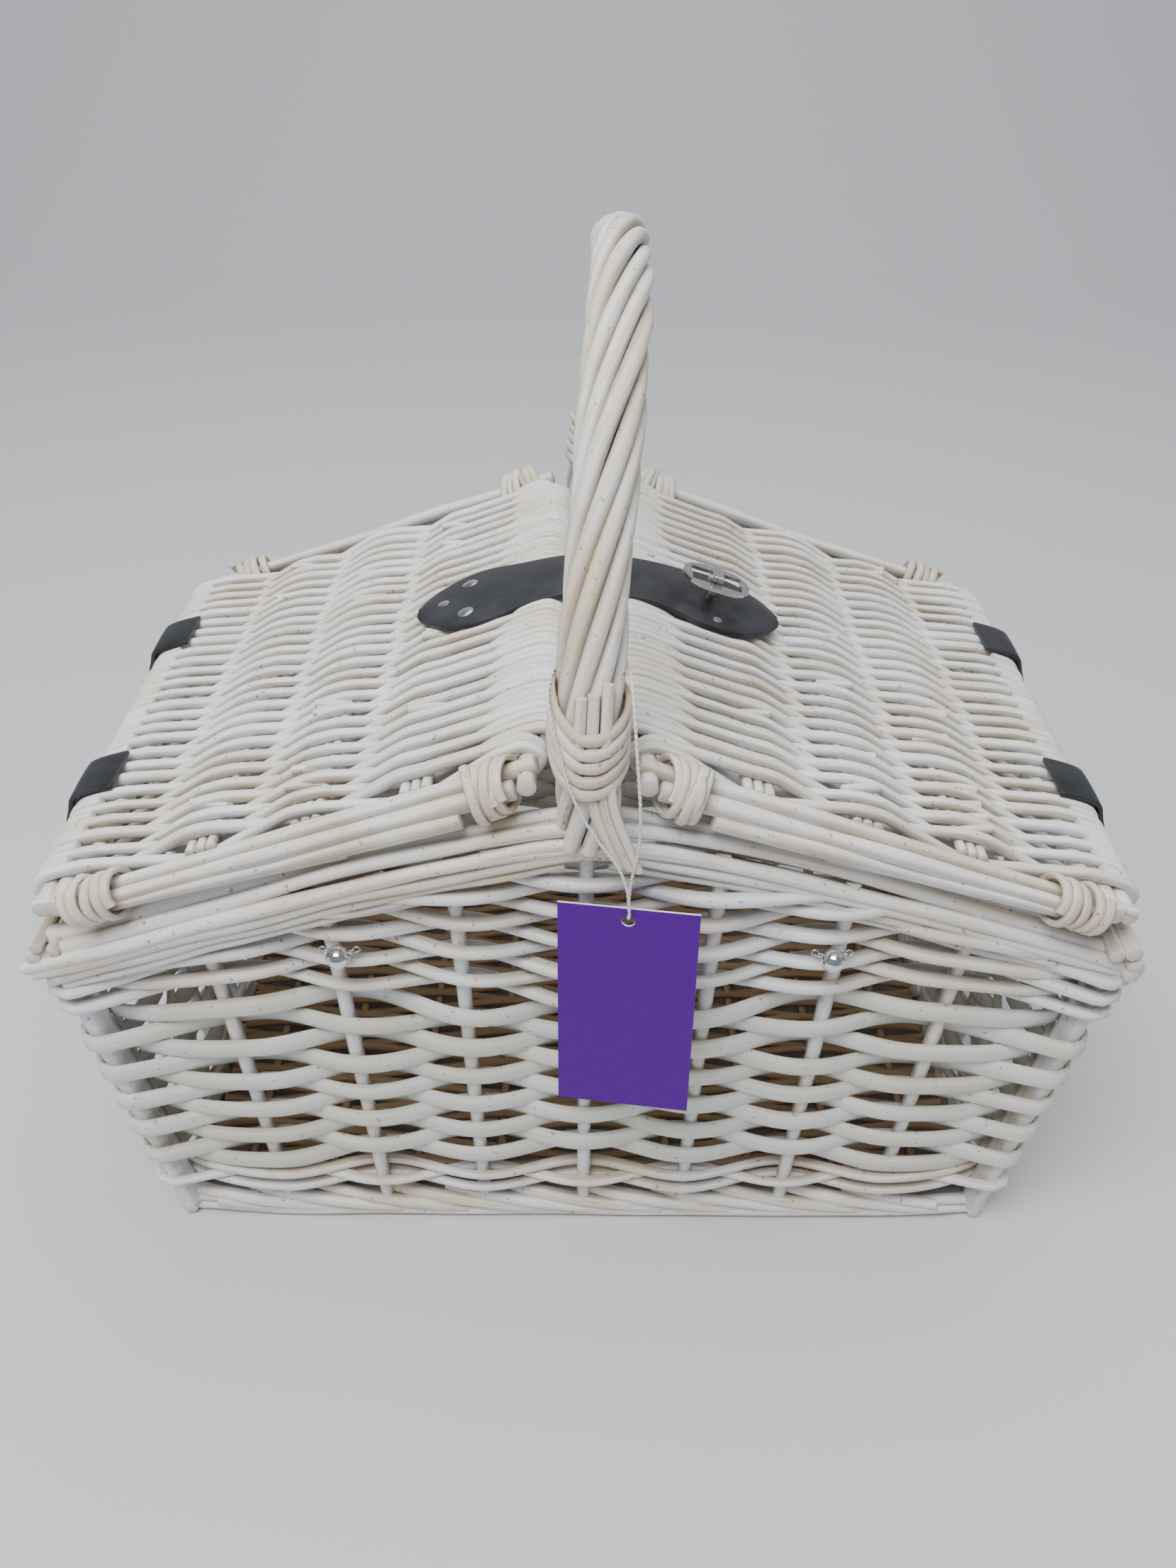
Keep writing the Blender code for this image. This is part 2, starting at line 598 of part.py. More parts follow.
def make_strap(left_pivot, right_pivot, fold_pivot):
    """The closing strap, its rivets and eyelet, and the turn lock that it drops over."""
    leather = WEAVE_TOP + GAP
    top = leather + LEATHER
    anchor = box("strap_anchor",
                 (lid_x(STRAP_FOLD_X + GAP), -STRAP_Y - STRAP_WIDTH / 2, leather),
                 (lid_x(STRAP_END_X), -STRAP_Y + STRAP_WIDTH / 2, top), LEATHER_BLACK,
                 left_pivot)
    for k, (x, y) in enumerate(RIVETS):
        place = lid_x(x)
        rivet(f"strap_rivet_{k + 1}", place, -y, top, NICKEL, left_pivot)
        cut(anchor, cylinder(f"rivet_hole_{k + 1}", (place, -y, leather),
                             RIVET_SHANK + GAP, 3 * LEATHER, "Z", NICKEL, left_pivot))
    fold_z = strap_middle(STRAP_FOLD_X)
    crest = RIDGE_Z + STICK_RADIUS + LEATHER + 4 * GAP
    lock = lid_x(LOCK_X)
    lift = top + STRAP_LIFT
    plate_from = lid_place(lock - PLATE_LENGTH / 2 - GAP, lift)
    tip = lid_place(lid_x(STRAP_TIP_X), lift)
    path = [(-STRAP_FOLD_X + GAP, fold_z), (-RIDGE_X, crest), (0, crest + LEATHER),
            (RIDGE_X, crest + LEATHER), plate_from, tip]
    path = [(x + STRAP_FOLD_X, z - fold_z) for x, z in path]
    flap = ribbon("strap_flap", path, STRAP_WIDTH, LEATHER, STRAP_Y, LEATHER_BLACK,
                  fold_pivot)
    slot = box("slot_cutter", (lock - SLOT_LENGTH / 2, STRAP_Y - SLOT_WIDTH / 2, 0),
               (lock + SLOT_LENGTH / 2, STRAP_Y + SLOT_WIDTH / 2, 0.05), NICKEL, right_pivot)
    cut(flap, slot)
    oval = []
    for centre, begin in ((PLATE_LENGTH - PLATE_WIDTH, -90), (PLATE_WIDTH - PLATE_LENGTH, 90)):
        oval += arc((centre / 2, 0), PLATE_WIDTH / 2, begin, begin + 180, 8)
    plate_at = Matrix.Translation((lock, STRAP_Y, lift + LEATHER / 2 + GAP
                                   + PLATE_THICK / 2))
    to_fold = fold_pivot.matrix_world.inverted() @ right_pivot.matrix_world
    plate = flat_outline("eyelet_plate", oval, PLATE_THICK, NICKEL, fold_pivot,
                         to_fold @ plate_at)
    cut(plate, slot)
    half_tab = TAB_LENGTH / 2
    tab_middle = lid_x(TAB_X)
    tab = box("lock_tab", (tab_middle - half_tab, STRAP_Y - TAB_WIDTH / 2, leather),
              (tab_middle + half_tab, STRAP_Y + TAB_WIDTH / 2, top), LEATHER_BLACK,
              right_pivot)
    tab_x = lid_x(TAB_RIVET[0])
    rivet("lock_tab_rivet", tab_x, TAB_RIVET[1], top, NICKEL, right_pivot)
    cut(tab, cylinder("tab_hole", (tab_x, TAB_RIVET[1], leather),
                      RIVET_SHANK + GAP, 3 * LEATHER, "Z", NICKEL, right_pivot))
    ring = cylinder("turn_knob_base", (lock, STRAP_Y, top + GAP + BASE_RING_THICK / 2),
                    BASE_RING_RADIUS, BASE_RING_THICK, "Z", NICKEL, right_pivot)
    cut(ring, cylinder("stem_hole", (lock, STRAP_Y, top), STEM_RADIUS + GAP, 4 * LEATHER,
                       "Z", NICKEL, right_pivot))
    foot = top + GAP
    knob = box("turn_knob", (-KNOB_WIDTH / 2, -KNOB_LENGTH / 2, foot + KNOB_LIFT),
               (KNOB_WIDTH / 2, KNOB_LENGTH / 2, foot + KNOB_LIFT + KNOB_HEIGHT), NICKEL,
               right_pivot, bevel=0.0008)
    stem_end = foot + KNOB_LIFT + KNOB_HEIGHT / 2
    stem = cylinder("knob_stem", (0, 0, (foot + stem_end) / 2), STEM_RADIUS,
                    stem_end - foot, "Z", NICKEL, right_pivot)
    cut(knob, stem, "UNION")
    for piece in (knob, stem):
        piece.location = (lock, STRAP_Y, 0)


def make_balls():
    """A chrome ball on the front of the wall at each side."""
    y = -half_depth(BALL_Z) - GAP - BALL_RADIUS
    for name, x in (("left", -BALL_X), ("right", BALL_X)):
        bpy.ops.mesh.primitive_uv_sphere_add(segments=20, ring_count=12, radius=BALL_RADIUS)
        made = bpy.context.object
        mesh = made.data
        bpy.data.objects.remove(made)
        add_object(f"chain_ball_{name}", mesh, CHROME).location = (x, y, BALL_Z)


def make_tag(pivot):
    """The card tag on its loop of string round the handle's front leg."""
    low = TAG_TOP - TAG_HEIGHT
    card = box("hang_tag", (TAG_X - TAG_WIDTH / 2, TAG_Y - TAG_THICK / 2, low),
               (TAG_X + TAG_WIDTH / 2, TAG_Y + TAG_THICK / 2, TAG_TOP), CARD)
    hole = cylinder("tag_hole", (TAG_X, TAG_Y, TAG_HOLE_Z), TAG_HOLE, 0.01, "Y", CARD)
    middle = Matrix.Translation((TAG_X, TAG_Y, 0))
    for piece in (card, hole):
        piece.data.transform(middle @ Matrix.Rotation(TAG_TURN, 4, "Z") @ middle.inverted())
    cut(card, hole)
    card.parent = pivot
    card.matrix_parent_inverse = pivot.matrix_world.inverted()
    tube("tag_string", smooth_line(STRING_ROUTE, 3), STRING_RADIUS, STRING)


def make_pivot(name, place, turn, parent=None):
    """An empty on a joint's axis."""
    pivot = bpy.data.objects.new(name, None)
    PARTS.objects.link(pivot)
    pivot.location = place
    pivot.rotation_euler = turn
    pivot.parent = parent
    bpy.context.view_layer.update()
    return pivot


for old in list(bpy.data.objects):
    bpy.data.objects.remove(old)
PARTS = bpy.data.collections.new("picnic_hamper")
CUTTERS = bpy.data.collections.new("cutters")
bpy.context.scene.collection.children.link(PARTS)
bpy.context.scene.collection.children.link(CUTTERS)

PAINTED = new_material("whitewashed_willow", (0.72, 0.70, 0.66), 0.75)
NATURAL = new_material("natural_willow", (0.36, 0.22, 0.12), 0.7)
CANE = new_material("whitewashed_cane", (0.78, 0.76, 0.72), 0.7)
LEATHER_BLACK = new_material("black_leather", (0.02, 0.02, 0.022), 0.5)
NICKEL = new_material("nickel", (0.78, 0.77, 0.75), 0.25, 1.0)
CHROME = new_material("chrome", (0.8, 0.8, 0.8), 0.12, 1.0)
CARD = new_material("violet_card", (0.22, 0.09, 0.36), 0.45)
STRING = new_material("white_string", (0.85, 0.84, 0.80), 0.8)

right_hinge = make_pivot("lid_right_pivot", HINGE_POINT, (0, LID_SLOPE, 0))
left_hinge = make_pivot("lid_left_pivot", (-HINGE_POINT.x, 0, HINGE_POINT.z),
                        (0, LID_SLOPE, math.pi))
strap_fold = make_pivot("strap_fold_pivot", (-STRAP_FOLD_X, 0, strap_middle(STRAP_FOLD_X)),
                        (0, 0, 0))
tag_swing = make_pivot("tag_swing_pivot", (TAG_X, -0.129, 0.290), (0, 0, 0))

make_base()
make_posts()
make_walls()
make_rims()
make_handle()
make_lid("right", right_hinge, 1)
make_lid("left", left_hinge, -1)
make_hinges()
make_strap(left_hinge, right_hinge, strap_fold)
make_balls()
make_tag(tag_swing)
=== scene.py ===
"""Looks of the white-washed willow hamper: every rod of the weave, the leather, metal, card and string."""
import math

import bpy
import numpy as np
from mathutils import Matrix, Vector


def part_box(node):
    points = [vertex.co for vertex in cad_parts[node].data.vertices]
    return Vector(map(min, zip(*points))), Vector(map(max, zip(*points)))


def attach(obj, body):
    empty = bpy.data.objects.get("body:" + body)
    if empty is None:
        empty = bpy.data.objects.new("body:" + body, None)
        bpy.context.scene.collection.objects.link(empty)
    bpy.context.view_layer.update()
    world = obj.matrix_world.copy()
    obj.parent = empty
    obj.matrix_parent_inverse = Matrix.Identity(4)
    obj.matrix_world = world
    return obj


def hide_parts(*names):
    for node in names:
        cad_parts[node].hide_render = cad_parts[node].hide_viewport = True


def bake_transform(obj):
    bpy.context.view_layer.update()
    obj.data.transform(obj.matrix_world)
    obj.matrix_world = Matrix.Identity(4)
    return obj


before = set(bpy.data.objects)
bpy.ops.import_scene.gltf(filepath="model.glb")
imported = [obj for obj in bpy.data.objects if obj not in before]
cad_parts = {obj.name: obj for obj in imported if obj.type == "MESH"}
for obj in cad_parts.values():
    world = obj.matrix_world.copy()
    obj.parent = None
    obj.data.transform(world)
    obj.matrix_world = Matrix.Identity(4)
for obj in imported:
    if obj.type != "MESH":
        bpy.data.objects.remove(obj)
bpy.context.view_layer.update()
rng = np.random.default_rng(7)
MM = 0.001

# Sizes read from the frame.
rail_low, rail_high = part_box("foot_rail_front")
FOOT_X = rail_high[0]
FOOT_Y = -rail_low[1]
side_low, side_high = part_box("rim_right")
MOUTH_X = (side_low[0] + side_high[0]) / 2
MOUTH_Z = (side_low[2] + side_high[2]) / 2
BORDER = (side_high[2] - side_low[2]) / 2
APEX_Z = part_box("rim_front")[1][2] - BORDER
GABLE_SLOPE = (APEX_Z - MOUTH_Z) / MOUTH_X
SIDE_LEAN = (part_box("wall_right")[1][0] - FOOT_X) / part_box("wall_right")[1][2]
FRONT_LEAN = (-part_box("wall_front")[0][1] - FOOT_Y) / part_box("wall_front")[1][2]


def middle_of(node):
    low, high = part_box(node)
    return np.array([(a + b) / 2 for a, b in zip(low, high)])


RIDGE = middle_of("lid_right_ridge_stick")
LID_LINE = middle_of("lid_right_outer_sticks") - RIDGE
LID_LENGTH = float(np.linalg.norm(LID_LINE))
LID_ALONG = LID_LINE / LID_LENGTH
LID_NORMAL = np.array([-LID_ALONG[2], 0, LID_ALONG[0]])
LID_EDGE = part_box("lid_right_front_rod")[1][1] * -1 - 4 * MM

# The weave.
PANEL_DEPTH = 5 * MM
STAKE_RADIUS = 3 * MM
FRONT_STAKES = [k * 44 * MM for k in (-3, -2, -1, 0, 1, 2, 3)]
SIDE_STAKES = [k * 39 * MM for k in (-2, -1, 0, 1, 2)]
BAND_FIRST = 38.3 * MM
BAND_PITCH = 9.15 * MM
BAND_ROWS = 11
BAND_HALF_HEIGHT = 5.4 * MM
BAND_HALF_THICK = 1.6 * MM
LID_BUNDLES = [42 * MM, 84 * MM, 126 * MM]
LID_PITCH = 4.75 * MM


def unit(v):
    return v / np.maximum(np.linalg.norm(v, axis=-1, keepdims=True), 1e-12)


def smooth(points, spacing=4 * MM, closed=False):
    """A Catmull-Rom line through key points, with a point about every spacing."""
    keys = np.asarray(points, float)
    if closed:
        keys = np.vstack([keys[-1:], keys, keys[:2]])
    else:
        keys = np.vstack([2 * keys[0] - keys[1], keys, 2 * keys[-1] - keys[-2]])
    line = []
    for a, b, c, d in zip(keys, keys[1:], keys[2:], keys[3:]):
        count = max(1, int(np.linalg.norm(c - b) / spacing))
        t = (np.arange(count) / count)[:, None]
        line.append(0.5 * (2 * b + (c - a) * t + (2 * a - 5 * b + 4 * c - d) * t ** 2
                           + (3 * b - a - 3 * c + d) * t ** 3))
    if not closed:
        line.append(keys[-2:-1])
    return np.vstack(line)


def kinked(points, spacing, blur):
    """Straight stretches between key points, with each corner rounded a little."""
    line = [np.asarray(points[:1], float)]
    for a, b in zip(points, points[1:]):
        a = np.asarray(a, float)
        b = np.asarray(b, float)
        count = max(1, round(np.linalg.norm(b - a) / spacing))
        line.append(a + (b - a) * (np.arange(1, count + 1) / count)[:, None])
    line = np.vstack(line)
    for _ in range(blur):
        line[1:-1] = line[:-2] / 4 + line[1:-1] / 2 + line[2:] / 4
    return line


def shown(name, data):
    """An object with the given data, linked to the scene."""
    obj = bpy.data.objects.new(name, data)
    bpy.context.scene.collection.objects.link(obj)
    return obj


class Rods:
    """Collects round rods and flat canes, and makes one mesh of them."""

    def __init__(self):
        self.verts = []
        self.faces = []
        self.grain = []
        self.tint = []
        self.cap = []
        self.side = []
        self.count = 0

    def add(self, line, wide, facing, thick=None, sides=8, closed=False, uneven=0.05,
            beside=False):
        """A rod along a line. wide and thick are half sizes across and towards facing.

        The neighbours lie across it, or where beside is true, towards facing.
        """
        line = np.asarray(line, float)
        n = len(line)
        thick = wide if thick is None else thick
        wide = np.broadcast_to(np.asarray(wide, float), n).copy()
        thick = np.broadcast_to(np.asarray(thick, float), n).copy()
        if closed:
            tangent = np.roll(line, -1, 0) - np.roll(line, 1, 0)
        else:
            tangent = np.gradient(line, axis=0)
        tangent = unit(tangent)
        facing = np.broadcast_to(np.asarray(facing, float), line.shape)
        out = unit(facing - (facing * tangent).sum(1, keepdims=True) * tangent)
        across = np.cross(tangent, out)
        steps = np.linalg.norm(np.diff(line, axis=0), axis=1)
        run = np.concatenate([[0], np.cumsum(steps)])
        phase = rng.uniform(0, 6.28, 3)
        swell = 1 + uneven * (np.sin(run * 90 + phase[0]) + np.sin(run * 37 + phase[1])) / 2
        if closed:
            swell = 1 + uneven * np.sin(2 * math.pi * np.arange(n) / n * 9 + phase[0])
        wide *= swell
        thick *= swell
        angle = 2 * math.pi * (np.arange(sides) + 0.5) / sides
        ring = (line[:, None] + out[:, None] * (thick[:, None] * np.cos(angle))[..., None]
                + across[:, None] * (wide[:, None] * np.sin(angle))[..., None])
        tint = rng.uniform(0, 1)
        base = self.count
        self.verts.append(ring.reshape(-1, 3))
        grain = np.empty((n, sides, 3))
        grain[..., 0] = run[:, None] * 14 + tint * 90
        grain[..., 1] = np.cos(angle) * 1.1
        grain[..., 2] = np.sin(angle) * 1.1
        self.grain.append(grain.reshape(-1, 3))
        self.tint.append(np.full(n * sides, tint))
        self.cap.append(np.zeros(n * sides))
        # The side attribute marks where a rod touches its neighbours; the willow material paints shade
        # there.
        joint = np.abs(np.cos(angle) if beside else np.sin(angle))
        self.side.append(np.tile(joint, n))
        self.count += n * sides
        rows = n if closed else n - 1
        i = np.arange(rows)[:, None]
        j = np.arange(sides)[None]
        a = base + i * sides + j
        b = base + i * sides + (j + 1) % sides
        c = base + (i + 1) % n * sides + (j + 1) % sides
        d = base + (i + 1) % n * sides + j
        self.faces += np.stack([a, d, c, b], -1).reshape(-1, 4).tolist()
        if not closed:
            self.end(ring[0], -tangent[0], tint, False)
            self.end(ring[-1], tangent[-1], tint, True)

    def end(self, ring, way, tint, last):
        """A slightly domed cut end."""
        sides = len(ring)
        middle = ring.mean(0)
        size = np.linalg.norm(ring[0] - middle)
        points = np.vstack([ring, middle + (ring - middle) * 0.8 + way * size * 0.12,
                            middle + way * size * 0.16])
        base = self.count
        self.verts.append(points)
        radial = np.concatenate([np.ones(sides), np.full(sides, 0.8), [0]])
        grain = np.zeros((len(points), 3))
        grain[:, 0] = radial * 3 + tint * 70
        self.grain.append(grain)
        self.tint.append(np.full(len(points), tint))
        self.cap.append(np.ones(len(points)))
        self.side.append(np.zeros(len(points)))
        self.count += len(points)
        for k in range(sides):
            m = (k + 1) % sides
            outer = [base + k, base + m, base + sides + m, base + sides + k]
            tip = [base + sides + k, base + sides + m, base + 2 * sides]
            self.faces.append(outer if last else outer[::-1])
            self.faces.append(tip if last else tip[::-1])

    def make(self, name, material):
        mesh = bpy.data.meshes.new(name)
        mesh.from_pydata(np.vstack(self.verts).tolist(), [], self.faces)
        mesh.attributes.new("grain", "FLOAT_VECTOR", "POINT").data.foreach_set(
            "vector", np.vstack(self.grain).ravel())
        for key, values in (("tint", self.tint), ("cap", self.cap), ("side", self.side)):
            mesh.attributes.new(key, "FLOAT", "POINT").data.foreach_set(
                "value", np.concatenate(values))
        mesh.shade_smooth()
        mesh.materials.append(material)
        return shown(name, mesh)


# ---------------------------------------------------------------- materials

def start_material(name):
    material = bpy.data.materials.new(name)
    material.use_nodes = True
    tree = material.node_tree
    return material, tree, tree.nodes["Principled BSDF"]


def node(tree, kind, **values):
    """A shader node with some of its properties and inputs set."""
    made = tree.nodes.new(kind)
    for key, value in values.items():
        if key in made.inputs:
            made.inputs[key].default_value = value
        else:
            setattr(made, key, value)
    return made


def attribute(tree, name, output="Fac"):
    return node(tree, "ShaderNodeAttribute", attribute_name=name).outputs[output]


def own_place(tree):
    return node(tree, "ShaderNodeTexCoord").outputs["Object"]


def noise(tree, vector, scale, detail=3.0, rough=0.55):
    made = node(tree, "ShaderNodeTexNoise", Scale=scale, Detail=detail, Roughness=rough)
    tree.links.new(vector, made.inputs["Vector"])
    return made.outputs["Fac"]


def band(tree, value, low, high, top=1.0):
    """Maps a value from low..high to 0..top."""
    made = node(tree, "ShaderNodeMapRange")
    made.interpolation_type = "SMOOTHSTEP"
    made.inputs["From Min"].default_value = low
    made.inputs["From Max"].default_value = high
    made.inputs["To Max"].default_value = top
    tree.links.new(value, made.inputs["Value"])
    return made.outputs["Result"]


def mix(tree, amount, a, b, mode="MIX"):
    """Mixes two colours, each a colour or an output."""
    made = node(tree, "ShaderNodeMix", data_type="RGBA", blend_type=mode)
    for socket, value in ((made.inputs[0], amount), (made.inputs[6], a), (made.inputs[7], b)):
        if isinstance(value, (int, float)):
            socket.default_value = value
        elif isinstance(value, tuple):
            socket.default_value = (*value, 1.0)
        else:
            tree.links.new(value, socket)
    return made.outputs[2]


def maths(tree, operation, a, b):
    made = node(tree, "ShaderNodeMath", operation=operation)
    for socket, value in zip(made.inputs, (a, b)):
        if isinstance(value, (int, float)):
            socket.default_value = value
        else:
            tree.links.new(value, socket)
    return made.outputs[0]


def add_bump(tree, shader, height, strength, distance):
    made = node(tree, "ShaderNodeBump", Strength=strength, Distance=distance)
    tree.links.new(height, made.inputs["Height"])
    tree.links.new(made.outputs["Normal"], shader.inputs["Normal"])


def willow(name, wash, cream, wood, worn, roughness=0.55):
    """Peeled rods under a thin wash: cream and brown streaks, specks, paler cut ends, and painted shade
    where rods touch.
    """
    material, tree, shader = start_material(name)
    grain = attribute(tree, "grain", "Vector")
    tint = attribute(tree, "tint")
    cap = attribute(tree, "cap")
    place = own_place(tree)
    long_streaks = noise(tree, grain, 1.1, 4)
    fine_streaks = noise(tree, grain, 4.5, 3)
    patches = noise(tree, place, 26, 3)
    specks = noise(tree, place, 420, 1)
    soft = maths(tree, "ADD", long_streaks, maths(tree, "MULTIPLY", patches, 0.9))
    soft = maths(tree, "ADD", soft, maths(tree, "MULTIPLY", tint, 0.16))
    colour = mix(tree, band(tree, soft, 0.88, 1.26, 0.9), wash, cream)
    dark = maths(tree, "ADD", fine_streaks, maths(tree, "MULTIPLY", long_streaks, 0.6))
    colour = mix(tree, band(tree, dark, 1.02 - worn, 1.22 - worn, 0.6), colour, wood)
    colour = mix(tree, band(tree, specks, 0.70, 0.75, 0.6), colour,
                 tuple(0.45 * c for c in wood))
    shade = band(tree, tint, 0.0, 1.0, 0.10)
    colour = mix(tree, shade, colour, (0.35, 0.33, 0.34), "MULTIPLY")
    # Painted shade: colour multiplied towards (0.50, 0.46, 0.42) where a rod touches its neighbours (side
    # attribute), in patches, standing in for shade between rods.
    side = attribute(tree, "side")
    painted_rod_shade = maths(tree, "ADD", side, maths(tree, "MULTIPLY", patches, 0.5))
    colour = mix(tree, band(tree, painted_rod_shade, 0.92, 1.32, 0.75), colour, (0.50, 0.46, 0.42),
                 "MULTIPLY")
    rings = noise(tree, grain, 5.0, 1)
    end = mix(tree, band(tree, rings, 0.4, 0.62), tuple(0.72 * c for c in cream), wash)
    colour = mix(tree, cap, colour, end)
    tree.links.new(colour, shader.inputs["Base Color"])
    rough = maths(tree, "ADD", band(tree, fine_streaks, 0.3, 0.7, 0.2), roughness - 0.1)
    tree.links.new(rough, shader.inputs["Roughness"])
    height = maths(tree, "ADD", fine_streaks, maths(tree, "MULTIPLY", long_streaks, 0.8))
    add_bump(tree, shader, height, 0.5, 0.35 * MM)
    return material


def leather(name):
    material, tree, shader = start_material(name)
    place = own_place(tree)
    cells = node(tree, "ShaderNodeTexVoronoi", Scale=1300.0)
    tree.links.new(place, cells.inputs["Vector"])
    cloud = noise(tree, place, 60, 3)
    colour = mix(tree, band(tree, cloud, 0.35, 0.7), (0.012, 0.013, 0.016),
                 (0.028, 0.030, 0.036))
    tree.links.new(colour, shader.inputs["Base Color"])
    tree.links.new(maths(tree, "ADD", band(tree, cloud, 0.3, 0.7, 0.16), 0.36),
                   shader.inputs["Roughness"])
    add_bump(tree, shader, cells.outputs["Distance"], 0.25, 0.15 * MM)
    return material


def metal(name, colour, roughness):
    material, tree, shader = start_material(name)
    place = own_place(tree)
    smears = noise(tree, place, 240, 3)
    shade = mix(tree, band(tree, smears, 0.35, 0.7), tuple(0.86 * c for c in colour), colour)
    tree.links.new(shade, shader.inputs["Base Color"])
    tree.links.new(maths(tree, "ADD", band(tree, smears, 0.3, 0.7, 0.12), roughness),
                   shader.inputs["Roughness"])
    shader.inputs["Metallic"].default_value = 1.0
    return material


def card(name, colour, edge):
    """Laminated card: the faces are coloured, and the cut edges and the hole are white."""
    material, tree, shader = start_material(name)
    cut = attribute(tree, "cut")
    place = own_place(tree)
    fibres = noise(tree, place, 500, 2)
    shade = mix(tree, band(tree, fibres, 0.3, 0.7), colour, tuple(1.12 * c for c in colour))
    tree.links.new(mix(tree, cut, shade, edge), shader.inputs["Base Color"])
    shader.inputs["Roughness"].default_value = 0.5
    shader.inputs["Specular IOR Level"].default_value = 0.15
    add_bump(tree, shader, fibres, 0.08, 0.05 * MM)
    return material


def cotton(name):
    """White cotton with a soft, slightly uneven tone."""
    material, tree, shader = start_material(name)
    grain = attribute(tree, "grain", "Vector")
    fluff = noise(tree, grain, 8, 2)
    tree.links.new(mix(tree, band(tree, fluff, 0.3, 0.7), (0.62, 0.61, 0.58),
                       (0.86, 0.85, 0.82)), shader.inputs["Base Color"])
    shader.inputs["Roughness"].default_value = 0.85
    add_bump(tree, shader, fluff, 0.4, 0.1 * MM)
    return material


WASHED = willow("washed_willow", (0.79, 0.80, 0.83), (0.74, 0.67, 0.54), (0.36, 0.26, 0.17),
                0.04)
BORDERS = willow("border_willow", (0.79, 0.785, 0.79), (0.72, 0.62, 0.46),
                 (0.34, 0.24, 0.15), 0.09)
BANDS = willow("washed_bands", (0.74, 0.755, 0.72), (0.70, 0.67, 0.55), (0.44, 0.36, 0.24),
               0.0, 0.6)
CANE = willow("washed_cane", (0.78, 0.74, 0.67), (0.68, 0.56, 0.40), (0.32, 0.22, 0.14), 0.13)
NATURAL = willow("natural_willow", (0.46, 0.31, 0.17), (0.36, 0.225, 0.115),
                 (0.20, 0.115, 0.055), 0.05)
LEATHER = leather("black_leather")
NICKEL = metal("nickel", (0.66, 0.65, 0.63), 0.18)
CHROME = metal("chrome", (0.80, 0.80, 0.81), 0.05)
CARD = card("violet_card", (0.088, 0.004, 0.245), (0.82, 0.81, 0.82))
COTTON = cotton("white_cotton")


# ---------------------------------------------------------------- walls

def side_frames(z, inset=PANEL_DEPTH):
    """The four sides at a height: (start, end, outward, stake places along the side)."""
    x = FOOT_X + SIDE_LEAN * z - inset
    y = FOOT_Y + FRONT_LEAN * z - inset
    return [((-x, -y), (x, -y), (0, -1), FRONT_STAKES),
            ((x, -y), (x, y), (1, 0), SIDE_STAKES),
            ((x, y), (-x, y), (0, 1), FRONT_STAKES),
            ((-x, y), (-x, -y), (-1, 0), SIDE_STAKES)]


def ring_keys(z, parity, reach, rise=None):
    """Key points of one row round the basket, in front of and behind stakes by turns.

    rise gives the extra height of the row at a place along the front or back.
    """
    keys = []
    number = 0
    for start, end, outward, stakes in side_frames(z):
        start = np.array(start)
        end = np.array(end)
        way = unit(end - start)
        outward = np.array(outward)
        corner = start - 1.5 * MM * (outward + way * -1)
        before = unit(outward - way)
        sign = 1 if (number + parity) % 2 else -1
        if sign > 0:
            back = np.array([-way[0], -way[1]])
            for mixer in (0, 0.5, 1):
                aim = unit(back * (1 - mixer) + outward * mixer)
                keys.append((*(corner + aim * (POST + reach * 0.45)), z))
        else:
            keys.append((*(corner - before * (POST + reach * 0.35)), z))
        number += 1
        for place in stakes:
            sign = 1 if (number + parity) % 2 else -1
            spot = (start + end) / 2 + way * place + outward * reach * sign
            lift = 0 if rise is None or outward[1] == 0 else rise(abs(place))
            keys.append((*spot, z + lift))
            number += 1
    return keys


POST = 5.5 * MM


def outward_at(line):
    """Outward direction for each point of a line round the basket."""
    x = FOOT_X + SIDE_LEAN * line[:, 2]
    y = FOOT_Y + FRONT_LEAN * line[:, 2]
    near_x = np.clip((np.abs(line[:, 0]) - (x - 14 * MM)) / (9 * MM), 0, 1)
    near_y = np.clip((np.abs(line[:, 1]) - (y - 14 * MM)) / (9 * MM), 0, 1)
    out = np.stack([np.sign(line[:, 0]) * near_x, np.sign(line[:, 1]) * near_y,
                    np.full(len(line), -0.10)], 1)
    return unit(out)


def make_bands():
    rods = Rods()
    for k in range(BAND_ROWS):
        z = BAND_FIRST + k * BAND_PITCH
        reach = STAKE_RADIUS + BAND_HALF_THICK
        crown = (9.5 - 0.25 * k) * MM
        raised = max(0.0, (k - 7) / 3)
        keys = ring_keys(z + rng.uniform(-0.5, 0.5) * MM, k, reach,
                         lambda x, c=crown, r=raised: c * (1 - (x / FOOT_X) ** 1.5)
                         + r * float(np.interp(x, [44 * MM, 88 * MM, 132 * MM, FOOT_X],
                                               [0, 8 * MM, 9 * MM, 0])))
        line = smooth(keys, 4 * MM, closed=True)
        height = BAND_HALF_HEIGHT * rng.uniform(0.94, 1.04)
        rods.add(line, height, outward_at(line), BAND_HALF_THICK, 10, True, 0.05)
    return rods.make("woven_bands", BANDS)


def rim_height(x):
    return APEX_Z - GABLE_SLOPE * abs(x)


